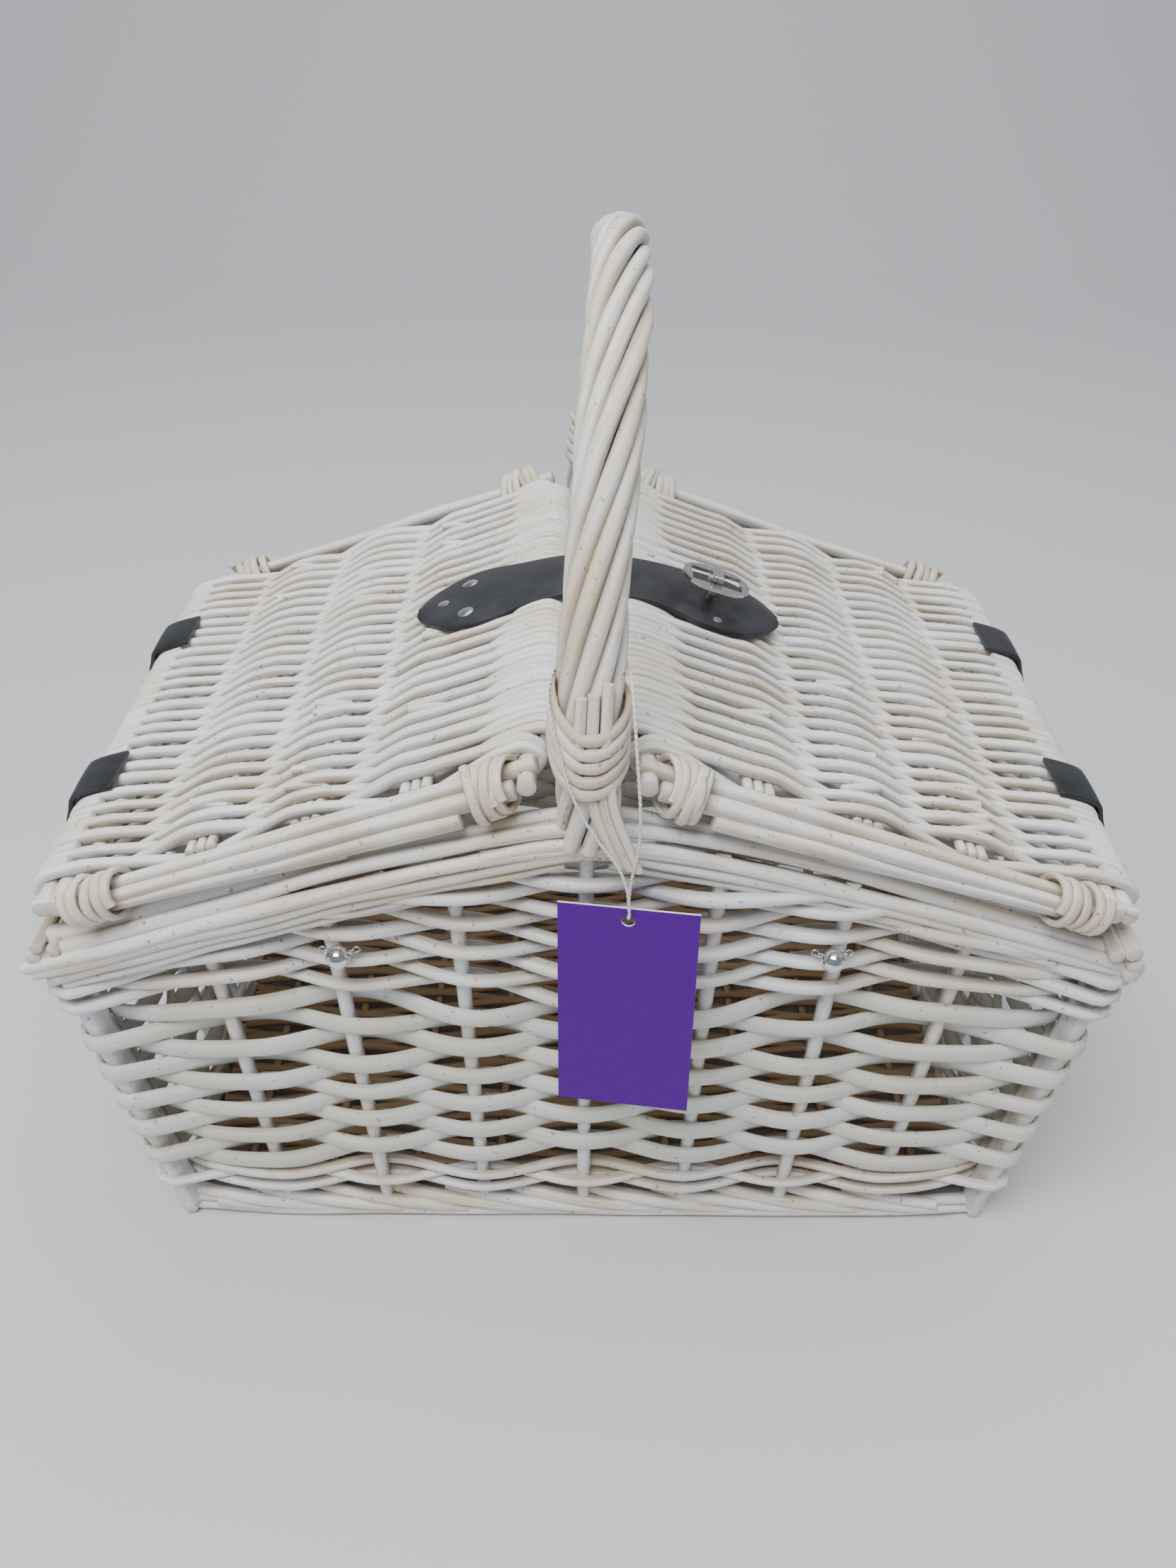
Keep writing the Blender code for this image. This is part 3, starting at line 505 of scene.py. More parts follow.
def make_upper_rows():
    """Round rods above the bands: full rows, then short rows that fill the gables."""
    rods = Rods()
    first = BAND_FIRST + BAND_ROWS * BAND_PITCH + 4 * MM
    full_rows = 6
    bend = 115 * MM
    for k in range(10):
        radius = rng.uniform(2.6, 3.0) * MM
        reach = STAKE_RADIUS + radius * 0.9
        corner = first + k * 4.6 * MM
        shoulder = first + (15.0 + 6.4 * k) * MM
        middle = shoulder - max(0.0, 12 - 1.7 * k) * MM
        if k < full_rows:
            keys = ring_keys(corner, k + BAND_ROWS, reach,
                             lambda x, c=corner, s=shoulder, m=middle: float(np.interp(
                                 x, [0, 0.45 * bend, bend, FOOT_X], [m, (m + s) / 2, s, c])) - c)
            line = smooth(keys, 4 * MM, closed=True)
            rods.add(line, radius, outward_at(line), closed=True, uneven=0.08)
            continue
        span = (APEX_Z - 8 * MM - shoulder) / GABLE_SLOPE + 12 * MM
        for side in (-1, 1):
            inner = [p for p in FRONT_STAKES if abs(p) < span - 8 * MM]
            keys = []
            for place in [-span, *inner, span]:
                number = round(place / (44 * MM))
                sign = 0.2 if abs(place) == span else (1 if (number + k + 1) % 2 else -1)
                z = float(np.interp(abs(place), [0, bend, 2 * bend],
                                    [middle, shoulder, shoulder - 25 * MM]))
                y = FOOT_Y + FRONT_LEAN * z - PANEL_DEPTH + sign * reach
                keys.append((place, side * y, z + rng.uniform(-0.6, 0.6) * MM))
            line = smooth(keys)
            rods.add(line, radius, (0, side, 0), uneven=0.08)
    return rods.make("upper_rows", WASHED)


def make_stakes():
    """Uprights in each wall and the four corner posts."""
    rods = Rods()
    for start, end, outward, stakes in side_frames(0):
        for place in stakes:
            way = unit(np.array(end) - np.array(start))
            points = []
            gabled = outward[1] != 0
            top = (rim_height(place) if gabled else MOUTH_Z) - 2 * MM
            for z in np.linspace(6 * MM, top, 8):
                s, e, _, _ = next(f for f in side_frames(z) if f[2] == outward)
                splay = np.linalg.norm(np.array(e) - s) / np.linalg.norm(np.array(end) - start)
                splay = 1 + (splay - 1) * 0.6
                spot = (np.array(s) + np.array(e)) / 2 + way * place * splay
                points.append((*spot, z))
            rods.add(smooth(points, 8 * MM), STAKE_RADIUS, (*outward, 0), uneven=0.04)
    for x_side in (-1, 1):
        for y_side in (-1, 1):
            points = []
            for z in np.linspace(6 * MM, MOUTH_Z - 2 * MM, 8):
                x = FOOT_X + SIDE_LEAN * z - PANEL_DEPTH - 1.5 * MM
                y = FOOT_Y + FRONT_LEAN * z - PANEL_DEPTH - 1.5 * MM
                points.append((x_side * x, y_side * y, z))
            rods.add(smooth(points, 8 * MM), POST, (x_side, y_side, 0), sides=12)
    return rods.make("wall_stakes", WASHED)


def make_foot():
    """Waling rods over a border of thick rods that slant down one after another."""
    rods = Rods()
    for k in range(3):
        z = 23.5 * MM + k * 4.4 * MM
        keys = ring_keys(z, k, STAKE_RADIUS + 1.6 * MM)
        line = smooth(keys, 4 * MM, closed=True)
        rods.add(line, 2.3 * MM, outward_at(line), closed=True, uneven=0.1)
    for start, end, outward, _ in side_frames(0, 4 * MM):
        start = np.array(start)
        end = np.array(end)
        length = np.linalg.norm(end - start)
        way = (end - start) / length
        outward = np.array(outward)
        count = round(length / (31 * MM))
        for k in range(-1, count):
            base = (k + rng.uniform(-0.1, 0.1)) * length / count
            keys = []
            for along, z, off in ((0, 14.5, -3.0), (18, 12.6, 0.8), (42, 9.0, 2.4),
                                  (68, 4.8, 1.2), (88, 3.2, -3.0)):
                place = base + along * MM
                if -2 * MM < place < length + 2 * MM:
                    keys.append((*(start + way * place + outward * off * MM), z * MM))
            if len(keys) > 2:
                rods.add(smooth(keys), 3.0 * MM, (*outward, 0.2), uneven=0.1)
        ground = [start + way * place + outward * (1.4 if 0 < place < length else -1.5) * MM
                  for place in np.linspace(-3 * MM, length + 3 * MM, 9)]
        for z, radius in ((3.4, 3.0), (9.2, 2.7)):
            keys = [(*place, (z + rng.uniform(-0.4, 0.4)) * MM) for place in ground]
            rods.add(smooth(keys), radius * MM, (*outward, 0.2), uneven=0.1)
    return rods.make("foot_border", BORDERS)


def make_rim():
    """Long tapering border rods that cross at the gable, and the side borders."""
    rods = Rods()
    lanes = ((5.5, 5.0, -3.5, 0.5, 3.3, 206, -150), (0.5, -1.5, -6.5, 4.0, 3.2, 209, -118),
             (-5.0, -6.0, -10.0, 3.6, 3.1, 206, -62), (-9.5, -10.5, -15.0, 3.0, 2.9, 201, 8),
             (8.0, 6.5, 0.5, -4.5, 3.3, 200, -92), (2.0, 0.5, -3.5, -3.8, 3.1, 197, -30),
             (-3.0, -5.5, -9.0, -2.6, 2.8, 192, 42), (-15.0, -15.0, -19.5, 2.2, 2.5, 197, 66))
    for y_side in (-1, 1):
        for x_side in (-1, 1):
            for high, shoulder, low, out, radius, begin, finish in lanes:
                keys = []
                for x in np.linspace(begin, finish, 10) * MM:
                    near = x / (60 * MM)
                    up = np.interp(abs(x), [0, 90 * MM, MOUTH_X], [high, shoulder, low])
                    z = rim_height(x) + (up + rng.uniform(-0.8, 0.8)) * MM
                    z -= 5 * MM * math.exp(-near ** 2 * 2)
                    y = FOOT_Y + FRONT_LEAN * z - 4 * MM + out * MM
                    y -= 2.4 * MM * math.tanh(near) * x_side
                    keys.append((x_side * x, y_side * y, z))
                line = smooth(keys)
                taper = np.linspace(radius, radius * 0.6, len(line)) * MM
                rods.add(line, taper, (0, y_side, 0.3), uneven=0.1)
    reach = -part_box("rim_front")[0][1]
    for x_side in (-1, 1):
        for up, out, radius in ((3.5, 1.0, 3.3), (-2.5, 3.2, 3.3), (-8.0, 2.5, 3.0),
                                (2.0, -5.0, 3.0)):
            keys = []
            for y in np.linspace(-reach + 5 * MM, reach - 5 * MM, 9):
                keys.append((x_side * (MOUTH_X + out * MM), y,
                             MOUTH_Z + (up + rng.uniform(-1, 1)) * MM))
            line = smooth(keys)
            taper = np.linspace(radius, radius * 0.8, len(line))[::x_side] * MM
            rods.add(line, taper, (x_side, 0, 0.3), uneven=0.08)
    return rods.make("rim_borders", BORDERS)


def make_floor():
    """Brown unpainted rods woven over cross sticks."""
    rods = Rods()
    low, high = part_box("base_weave")
    z = (low[2] + high[2]) / 2
    rows = int((high[1] - low[1]) / (5.4 * MM))
    sticks = np.arange(-4, 5) * 38 * MM
    for k in range(rows):
        y = low[1] + (k + 0.5) * (high[1] - low[1]) / rows
        keys = [(low[0] + 2 * MM, y, z)]
        keys += [(x, y, z + (2.6 if (k + m) % 2 else -2.2) * MM)
                 for m, x in enumerate(sticks)]
        keys.append((high[0] - 2 * MM, y, z))
        rods.add(smooth(keys, 9 * MM), 2.5 * MM, (0, 0, 1), 1.9 * MM, 6)
    for x in sticks:
        rods.add([(x, low[1], z), (x, high[1], z)], 2.4 * MM, (0, 0, 1), sides=6)
    return rods.make("woven_floor", NATURAL)


# ---------------------------------------------------------------- lids

def lid_point(side, u, v, w):
    """A point of a lid: u down the slope from the ridge stick, v along Y, w out of it."""
    place = RIDGE + LID_ALONG * u + LID_NORMAL * w
    return (side * place[0], v, place[2])


def lid_normal(side):
    return (side * LID_NORMAL[0], 0, LID_NORMAL[2])


def lid_weave(side, word):
    """Rods wound round the inner stick, woven through the bundles and round the outer sticks."""
    rods = Rods()
    half = LID_EDGE - 3.5 * MM
    rows = int(2 * half / LID_PITCH)
    outer = LID_LENGTH
    for k in range(rows):
        v = -half + (k + 0.5) * 2 * half / rows + rng.uniform(-0.35, 0.35) * MM
        radius = rng.uniform(2.0, 2.6) * MM
        near = 5.4 * MM
        sign = 1 if k % 2 else -1
        inside = abs(v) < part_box("lid_right_inner_stick")[1][1]
        if inside:
            keys = [(2 * MM, -5.2 * MM), (-6.8 * MM, -5.3 * MM), (-12.0 * MM, 0),
                    (-7.0 * MM, near)]
        else:
            keys = [(7 * MM, -4.6 * MM), (0, -5.8 * MM), (-5.6 * MM, -0.5 * MM)]
        keys += [(0, 5.7 * MM), (9 * MM, 4.9 * MM)]
        deep = 4.3 * MM
        for n, u in enumerate(LID_BUNDLES):
            way = sign * (1 if n % 2 == 0 else -1)
            keys += [(u - 4.5 * MM, way * 4.0 * MM), (u + 5 * MM, way * deep)]
        way = -sign
        keys += [(outer - 10 * MM, way * 5.2 * MM), (outer, way * 5.9 * MM),
                 (outer + 8 * MM, way * 5.6 * MM), (outer + 12.6 * MM, way * 2.0 * MM),
                 (outer + 12.6 * MM, -way * 2.0 * MM), (outer + 8 * MM, -way * 5.6 * MM),
                 (outer - 2 * MM, -way * 5.9 * MM)]
        lean = rng.uniform(-0.6, 0.6) * MM
        points = [lid_point(side, u, v + lean * math.sin(u * 30), w) for u, w in keys]
        rods.add(kinked(points, 1.9 * MM, 2), radius, (0, 1, 0), sides=8, uneven=0.07,
                 beside=True)
    for _ in range(16):
        u = rng.choice(LID_BUNDLES) + rng.uniform(3, 8) * MM
        v = rng.uniform(-half + 4 * MM, half - 4 * MM)
        aim = rng.uniform(-1.5, 1.5) * MM
        rods.add([lid_point(side, u - 12 * MM, v - aim, 1.0 * MM),
                  lid_point(side, u - 4 * MM, v, 3.6 * MM),
                  lid_point(side, u + 2 * MM, v + aim, 5.0 * MM)], 2.0 * MM, (0, 1, 0),
                 beside=True)
    for u in LID_BUNDLES:
        for off in (-4.1, 0, 4.1):
            line = [lid_point(side, u + off * MM, v, 0) for v in np.linspace(-half, half, 12)]
            rods.add(smooth(line, 9 * MM), 2.0 * MM, lid_normal(side))
    return rods.make(f"{word}_lid_weave", WASHED)


def lid_sticks(side, word):
    """The ridge stick, the short inner stick and the three outer sticks."""
    rods = Rods()
    face = lid_normal(side)
    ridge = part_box("lid_right_ridge_stick")[1][1]
    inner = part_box("lid_right_inner_stick")[1][1]
    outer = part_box("lid_right_outer_sticks")[1][1]
    for u, reach, radius in ((0, ridge, 3.5), (-6.8 * MM, inner, 3.0),
                             (LID_LENGTH - 6.8 * MM, outer - 1 * MM, 3.4),
                             (LID_LENGTH, outer, 3.5),
                             (LID_LENGTH + 6.8 * MM, outer - 2 * MM, 3.4)):
        line = [lid_point(side, u, v, 0) for v in np.linspace(-reach, reach, 30)]
        rods.add(line, radius * MM, face, sides=12, uneven=0.03)
    return rods.make(f"{word}_lid_sticks", BORDERS)


def lid_edges(side, word):
    """Long tapering rods along the front and back edges, with cut ends."""
    rods = Rods()
    end = LID_LENGTH
    lanes = ((-4, 129.5, 3.0, end + 9 * MM, 130.5, 1.0, 3.2, 2.5),
             (5, 135.0, -1.0, end - 6 * MM, 134.0, -1.5, 3.7, 2.5),
             (26, 137.0, -6.0, end - 14 * MM, 135.0, -4.5, 3.3, 2.0),
             (70, 134.0, -8.5, end - 2 * MM, 131.0, -5.5, 2.7, 1.9))
    for y_side in (-1, 1):
        for u0, v0, w0, u1, v1, w1, r0, r1 in lanes:
            keys = []
            for t in np.linspace(0, 1, 7):
                bow = math.sin(t * math.pi) * rng.uniform(-0.6, 1.2)
                keys.append(lid_point(side, u0 * MM * (1 - t) + u1 * t,
                                      y_side * (v0 * (1 - t) + v1 * t + bow) * MM,
                                      (w0 * (1 - t) + w1 * t + bow) * MM))
            line = smooth(keys)
            taper = np.linspace(r0, r1, len(line)) * MM
            rods.add(line, taper, lid_normal(side), sides=10, uneven=0.07)
    return rods.make(f"{word}_lid_edges", BORDERS)


def wrap(rods, side, y_side, centre, size, turns, pitch, lean, cane):
    """Cane wound round the edge rods: turns of an oval helix, a little uneven."""
    u0, v0, w0 = centre
    steps = int(turns * 22)
    keys = []
    facing = []
    wobble = rng.uniform(-0.5, 0.5, 4)
    for k in range(steps + 1):
        turn = k / 22
        angle = 2 * math.pi * turn
        swell = 1 + 0.06 * math.sin(angle * 0.37 + wobble[0] * 6)
        v = v0 + size[0] * math.cos(angle) * swell
        w = w0 + size[1] * math.sin(angle) * swell
        u = u0 + pitch * turn + lean * math.cos(angle) + 0.5 * math.sin(angle * 1.7)
        keys.append(lid_point(side, u * MM, y_side * v * MM, w * MM))
        face = np.array(lid_point(side, u * MM, y_side * v0 * MM, w0 * MM))
        facing.append(np.array(keys[-1]) - face)
    rods.add(keys, cane[0] * MM, facing, cane[1] * MM, 8, uneven=0.08)


def lid_bindings(side, word):
    rods = Rods()
    corner = LID_LENGTH / MM - 26
    for y_side in (-1, 1):
        wrap(rods, side, y_side, (corner, 133.0, -1.0), (7.6, 8.2), 4.2, 4.4, 2.0, (2.3, 1.2))
        wrap(rods, side, y_side, (5.5, 133.0, 0.5), (8.8, 9.6), 3.2, 2.6, 2.6, (2.0, 1.1))
        wrap(rods, side, y_side, (12.5, 133.0, -0.5), (9.2, 9.8), 2.7, 3.0, -1.2, (2.0, 1.1))
    return rods.make(f"{word}_lid_bindings", CANE)


# ---------------------------------------------------------------- handle

CORE_LOW, CORE_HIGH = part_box("handle_core")
TWIST_LOW, TWIST_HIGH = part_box("handle_twist")
HANDLE_LEAN = CORE_LOW[0] + CORE_HIGH[0]
HANDLE_R = -TWIST_LOW[0]
HALF_SPAN = -CORE_LOW[1] + CORE_LOW[0]
SLEEVE_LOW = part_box("handle_binding_front")[0][2] + 1 * MM
SHOULDER = TWIST_LOW[2] + 9 * MM
HANDLE_RISE = TWIST_HIGH[2] - HANDLE_R - SHOULDER
HANDLE_TURN = 190 * MM


def handle_line(count):
    """The handle's middle line from front to back, with evenly spaced points."""
    angles = np.linspace(0, math.pi, 400)
    up = np.sin(angles)
    lean = np.where(np.cos(angles) > 0, up ** 2, 1 - (1 - up) ** 2)
    arch = np.stack([HANDLE_LEAN * lean, -HALF_SPAN * np.cos(angles),
                     SHOULDER + HANDLE_RISE * up], 1)
    foot = SHOULDER - 23 * MM
    arch = np.vstack([[0, -HALF_SPAN + 1 * MM, foot], arch, [0, HALF_SPAN - 1 * MM, foot]])
    run = np.concatenate([[0], np.cumsum(np.linalg.norm(np.diff(arch, axis=0), axis=1))])
    even = np.linspace(0, run[-1], count)
    return np.stack([np.interp(even, run, arch[:, k]) for k in range(3)], 1), even


def make_handle():
    rods = Rods()
    line, run = handle_line(140)
    tangent = unit(np.gradient(line, axis=0))
    outward = unit(np.cross(tangent, (1.0, 0, 0)))
    aside = np.cross(outward, tangent)
    rods.add(line, 4.6 * MM, outward, sides=10)
    for k in range(8):
        radius = rng.uniform(2.85, 3.25) * MM
        sway = 0.5 * MM * np.sin(run * rng.uniform(20, 34) + rng.uniform(0, 6))
        angle = 2 * math.pi * (k / 8 + rng.uniform(-0.01, 0.01) - run / HANDLE_TURN)
        spread = (HANDLE_R - 3.1 * MM + sway)[:, None]
        off = outward * np.cos(angle)[:, None] + aside * np.sin(angle)[:, None]
        rods.add(line + off * spread, radius, off, sides=10, uneven=0.05)
    return rods.make("handle_rods", BORDERS)


def handle_at(z, y_side):
    up = max(0.0, min(1.0, (z - SHOULDER) / HANDLE_RISE))
    lean = up ** 2 if y_side < 0 else 1 - (1 - up) ** 2
    return np.array([HANDLE_LEAN * lean, y_side * HALF_SPAN * math.sqrt(1 - up * up), z])


def make_handle_bindings():
    """Flat canes wound in a U round each foot, three pegs above and split tails below."""
    rods = Rods()
    turns = [-180, -90, -24, -12, 0, 16, 28, 90, 180]
    rises = [9.0, 12.0, 1.6, 0.0, 0.0, 0.0, 1.0, 6.5, 9.0]
    for y_side in (-1, 1):
        for k in range(5):
            z = SLEEVE_LOW + (8.4 + 4.9 * k) * MM
            keys = []
            facing = []
            for step in range(36):
                degrees = step * 10 - 180
                angle = math.radians(degrees)
                front = math.cos(angle)
                here = z + float(np.interp(degrees, turns, rises)) * MM
                off = np.array([math.sin(angle), y_side * front, 0])
                reach = HANDLE_R + (1.5 + 1.5 * max(0, front) ** 2 + 0.3 * (k % 2)) * MM
                keys.append(handle_at(here, y_side) + off * reach)
                facing.append(off)
            rods.add(keys, 2.35 * MM, facing, 1.2 * MM, 8, True, 0.06)
        for x, top in ((-3.2, 289.0), (0.9, 290.2), (5.3, 293.4)):
            foot = handle_at(SLEEVE_LOW + 22 * MM, y_side)
            head = handle_at(top * MM, y_side)
            away = np.array([x * MM, y_side * (HANDLE_R + 0.9 * MM), 0])
            rods.add([foot + away, (foot + head) / 2 + away, head + away], 2.1 * MM,
                     (0, y_side, 0), sides=10)
        for x, low in ((1.0, 226.0), (4.3, 225.0), (7.6, 224.0)):
            top = SLEEVE_LOW + 9 * MM
            keys = [(x * MM, y_side * (HALF_SPAN + HANDLE_R + 0.5 * MM), top),
                    ((x + 1.6) * MM, y_side * 147.6 * MM, 248 * MM),
                    ((x + 5.5) * MM, y_side * 148.2 * MM, 237 * MM),
                    ((x + 10.3) * MM, y_side * 147.8 * MM, low * MM)]
            line = smooth(keys)
            rods.add(line, np.linspace(1.9, 1.6, len(line)) * MM, (0, y_side, 0), 1.0 * MM, 8,
                     uneven=0.1)
    return rods.make("handle_bindings", CANE)


# ---------------------------------------------------------------- leather, metal, tag

def solid_sheet(name, top, thick, material, bevel=0.4 * MM):
    """A closed sheet from a grid of points, thickened along its normals."""
    rows, cols = top.shape[:2]
    mesh = bpy.data.meshes.new(name)
    i, j = np.meshgrid(np.arange(rows - 1), np.arange(cols - 1), indexing="ij")
    a = i * cols + j
    faces = np.stack([a, a + 1, a + cols + 1, a + cols], -1).reshape(-1, 4)
    mesh.from_pydata(top.reshape(-1, 3).tolist(), [], faces.tolist())
    mesh.materials.append(material)
    obj = shown(name, mesh)
    shell = obj.modifiers.new("thickness", "SOLIDIFY")
    shell.thickness = thick
    shell.offset = 0
    rounding = obj.modifiers.new("rounding", "BEVEL")
    rounding.width = bevel
    rounding.segments = 2
    rounding.angle_limit = math.radians(50)
    mesh.shade_smooth()
    return obj


def lid_x(side, x, up):
    """A point on a lid at a world distance x from the middle and a height over the stakes."""
    u = (x - RIDGE[0] - LID_NORMAL[0] * up) / LID_ALONG[0]
    return np.array(lid_point(side, u, 0, up))


PLATE = middle_of("eyelet_plate")
STRAP_Y = float(PLATE[1])


def strap_outline(x):
    """Half width of the closing strap at x: two round lobes joined by a narrower neck."""
    left, right = -46 * MM, PLATE[0] + 1 * MM
    neck = 18.5 * MM
    lobe = 24.5 * MM
    near_left = math.exp(-((x - left) / (17 * MM)) ** 2)
    near_right = math.exp(-((x - right) / (19 * MM)) ** 2)
    half = neck + (lobe - neck) * max(near_left, near_right)
    for centre, end in ((left, left - 26 * MM), (right, right + 26 * MM)):
        inside = (end - x) / (end - centre) if end > centre else (x - end) / (centre - end)
        if inside < 1:
            half *= math.sqrt(max(0.0, 1 - (1 - max(0.0, inside)) ** 2.4))
    return max(half, 0.6 * MM)


def strap_height(x):
    """The strap's line over both lids: flat on the left one and raised on the right one."""
    weave_top = 6.8 * MM
    if x < -RIDGE[0]:
        return lid_x(-1, -x, weave_top + 1.5 * MM)[2]
    crest = RIDGE[2] + 9.6 * MM
    if x < RIDGE[0]:
        left = lid_x(-1, RIDGE[0], weave_top + 1.5 * MM)[2]
        t = (x + RIDGE[0]) / (2 * RIDGE[0])
        return left * (1 - t) + crest * t + 2.6 * MM * math.sin(math.pi * t)
    t = x - RIDGE[0]
    fall = LID_ALONG[2] / LID_ALONG[0]
    ramp = min(1, t / (22 * MM))
    return crest + fall * t * (0.55 + 0.45 * ramp)


def make_strap():
    """Closing strap as one bent sheet of leather with lobed ends."""
    xs = np.concatenate([np.linspace(-72.5, -66, 9), np.linspace(-65, 74, 90),
                         np.linspace(75, 81.5, 9)]) * MM
    end = PLATE[0] + 26.8 * MM
    xs = np.interp(xs, [xs[0], xs[-1]], [-71.8 * MM, end])
    heights = np.array([strap_height(x) for x in xs])
    heights = np.convolve(np.pad(heights, 3, mode="edge"), np.ones(7) / 7, "valid")
    halves = [strap_outline(x) for x in xs]
    grid = np.array([[(x, STRAP_Y + t * h, z - 1.2 * MM * t * t)
                      for t in np.linspace(-1, 1, 25)]
                     for x, z, h in zip(xs, heights, halves)])
    return solid_sheet("closing_strap", grid, 2.5 * MM, LEATHER, 0.5 * MM)


def make_tab():
    """The leather tab under the eyelet, with round corners."""
    outline = []
    low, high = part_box("lock_tab")
    y0 = (low[1] + high[1]) / 2
    half_y = (high[1] - low[1]) / 2
    for x in np.linspace(low[0], high[0], 40):
        t = (x - (low[0] + high[0]) / 2) / ((high[0] - low[0]) / 2)
        half = half_y * (1 - abs(t) ** 3.2) ** 0.45 if abs(t) < 1 else 0
        z = lid_x(1, x, 8.2 * MM)[2]
        outline.append([(x, y0 + s * max(half, 0.5 * MM), z) for s in np.linspace(-1, 1, 9)])
    return solid_sheet("lock_tab_leather", np.array(outline), 2.3 * MM, LEATHER, 0.5 * MM)


def make_hinge_strap(side, word):
    """Leather wrapped over the lid's outer sticks and down round the side border."""
    low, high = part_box(f"hinge_strap_right_{word}")
    y0 = (low[1] + high[1]) / 2
    half = (high[1] - low[1]) / 2
    over = [np.array(lid_point(1, u, 0, w))
            for u, w in ((LID_LENGTH - 7 * MM, 9.6 * MM), (LID_LENGTH - 2 * MM, 10.0 * MM),
                         (LID_LENGTH + 5 * MM, 10.2 * MM), (LID_LENGTH + 11 * MM, 9.0 * MM),
                         (LID_LENGTH + 14.8 * MM, 4.0 * MM))]
    around = [np.array((MOUTH_X + 10.5 * MM, 0, MOUTH_Z + 4 * MM)),
              np.array((MOUTH_X + 9.5 * MM, 0, MOUTH_Z - 5 * MM)),
              np.array((MOUTH_X + 5.5 * MM, 0, MOUTH_Z - 12 * MM))]
    line = smooth(over + around, 1.5 * MM)
    grid = []
    for k, p in enumerate(line):
        t = k / (len(line) - 1)
        width = half * (1 - 0.04 * math.sin(math.pi * t))
        grid.append([(side * p[0], y0 + s * width, p[2] - 0.5 * MM * s * s)
                     for s in np.linspace(-1, 1, 9)])
    grid = np.array(grid)
    if side < 0:
        grid = grid[:, ::-1]
    return solid_sheet(f"{'left' if side < 0 else 'right'}_{word}_hinge_leather", grid,
                       1.8 * MM, LEATHER, 0.4 * MM)


def turned(name, profile, material, place, axis=(0, 0, 1), sides=40):
    """A turned piece from (radius, height) points, standing along an axis."""
    profile = np.array(profile)
    angle = 2 * math.pi * np.arange(sides) / sides
    verts = np.stack([profile[:, 0, None] * np.cos(angle), profile[:, 0, None] * np.sin(angle),
                      np.repeat(profile[:, 1, None], sides, 1)], -1).reshape(-1, 3)
    rows = len(profile)
    i, j = np.meshgrid(np.arange(rows - 1), np.arange(sides), indexing="ij")
    a = i * sides + j
    b = i * sides + (j + 1) % sides
    faces = np.stack([b, a, a + sides, b + sides], -1).reshape(-1, 4).tolist()
    faces.append(list(range(sides)))
    faces.append(list(range((rows - 1) * sides, rows * sides))[::-1])
    mesh = bpy.data.meshes.new(name)
    turn = Vector((0, 0, 1)).rotation_difference(Vector(axis)).to_matrix().to_4x4()
    mesh.from_pydata(verts.tolist(), [], faces)
    mesh.transform(Matrix.Translation(place) @ turn)
    mesh.materials.append(material)
    mesh.shade_smooth()
    mesh.set_sharp_from_angle(angle=math.radians(50))
    return shown(name, mesh)


def dome(radius, height, foot):
    """Profile of a rivet head with a small rim, standing on a foot below its own base."""
    points = [(0.01 * MM, height)]
    points += [(radius * math.sin(a), height * math.cos(a) ** 0.8)
               for a in np.linspace(0.12, 1.45, 10)]
    return points + [(radius, 0), (radius * 0.96, -0.3 * MM), (radius * 0.4, -foot)]


def make_chain(word):
    """A few wire links on each side of a ball, tucked between the rods."""
    rods = Rods()
    ball = middle_of(f"chain_ball_{word}")
    for side in (-1, 1):
        for k in range(2):
            place = ball + np.array([side * (4.6 + 1.7 * k), 2.2 + 1.4 * k, 0.6]) * MM
            turn = np.linspace(0, 2 * math.pi, 12, endpoint=False)
            tall = np.array([0, 0.3, 1.0]) if k % 2 else np.array([0, 1.0, -0.2])
            ring = [place + (np.array([1.3, 0, 0]) * math.cos(a) + tall * math.sin(a)) * MM
                    for a in turn]
            facing = [np.array(p) - place for p in ring]
            rods.add(ring, 0.35 * MM, facing, sides=6, closed=True, uneven=0)
    return rods.make(f"chain_links_{word}", NICKEL)


def make_rivet(node_name, number, normal):
    place = Vector(middle_of(node_name)) - Vector(normal) * 0.2 * MM
    return turned(f"rivet_cap_{number}", dome(4.6 * MM, 2.5 * MM, 2.5 * MM), NICKEL, place,
                  normal)


def set_finish(material, *nodes):
    for name in nodes:
        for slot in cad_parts[name].material_slots:
            slot.material = material


# ---------------------------------------------------------------- assembly

def settle(piece, body, slot, *nodes):
    """Put a piece on its body and hide the solids that it stands for."""
    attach(piece, body)
    if nodes:
        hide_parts(*nodes)


def mark_cut_edges(word):
    """Mark the faces that are neither the front nor the back of a thin card."""
    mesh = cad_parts[word].data
    cut = mesh.attributes.new("cut", "FLOAT", "FACE")
    for k, polygon in enumerate(mesh.polygons):
        cut.data[k].value = 1.0 if abs(polygon.normal.y) < 0.7 else 0.0


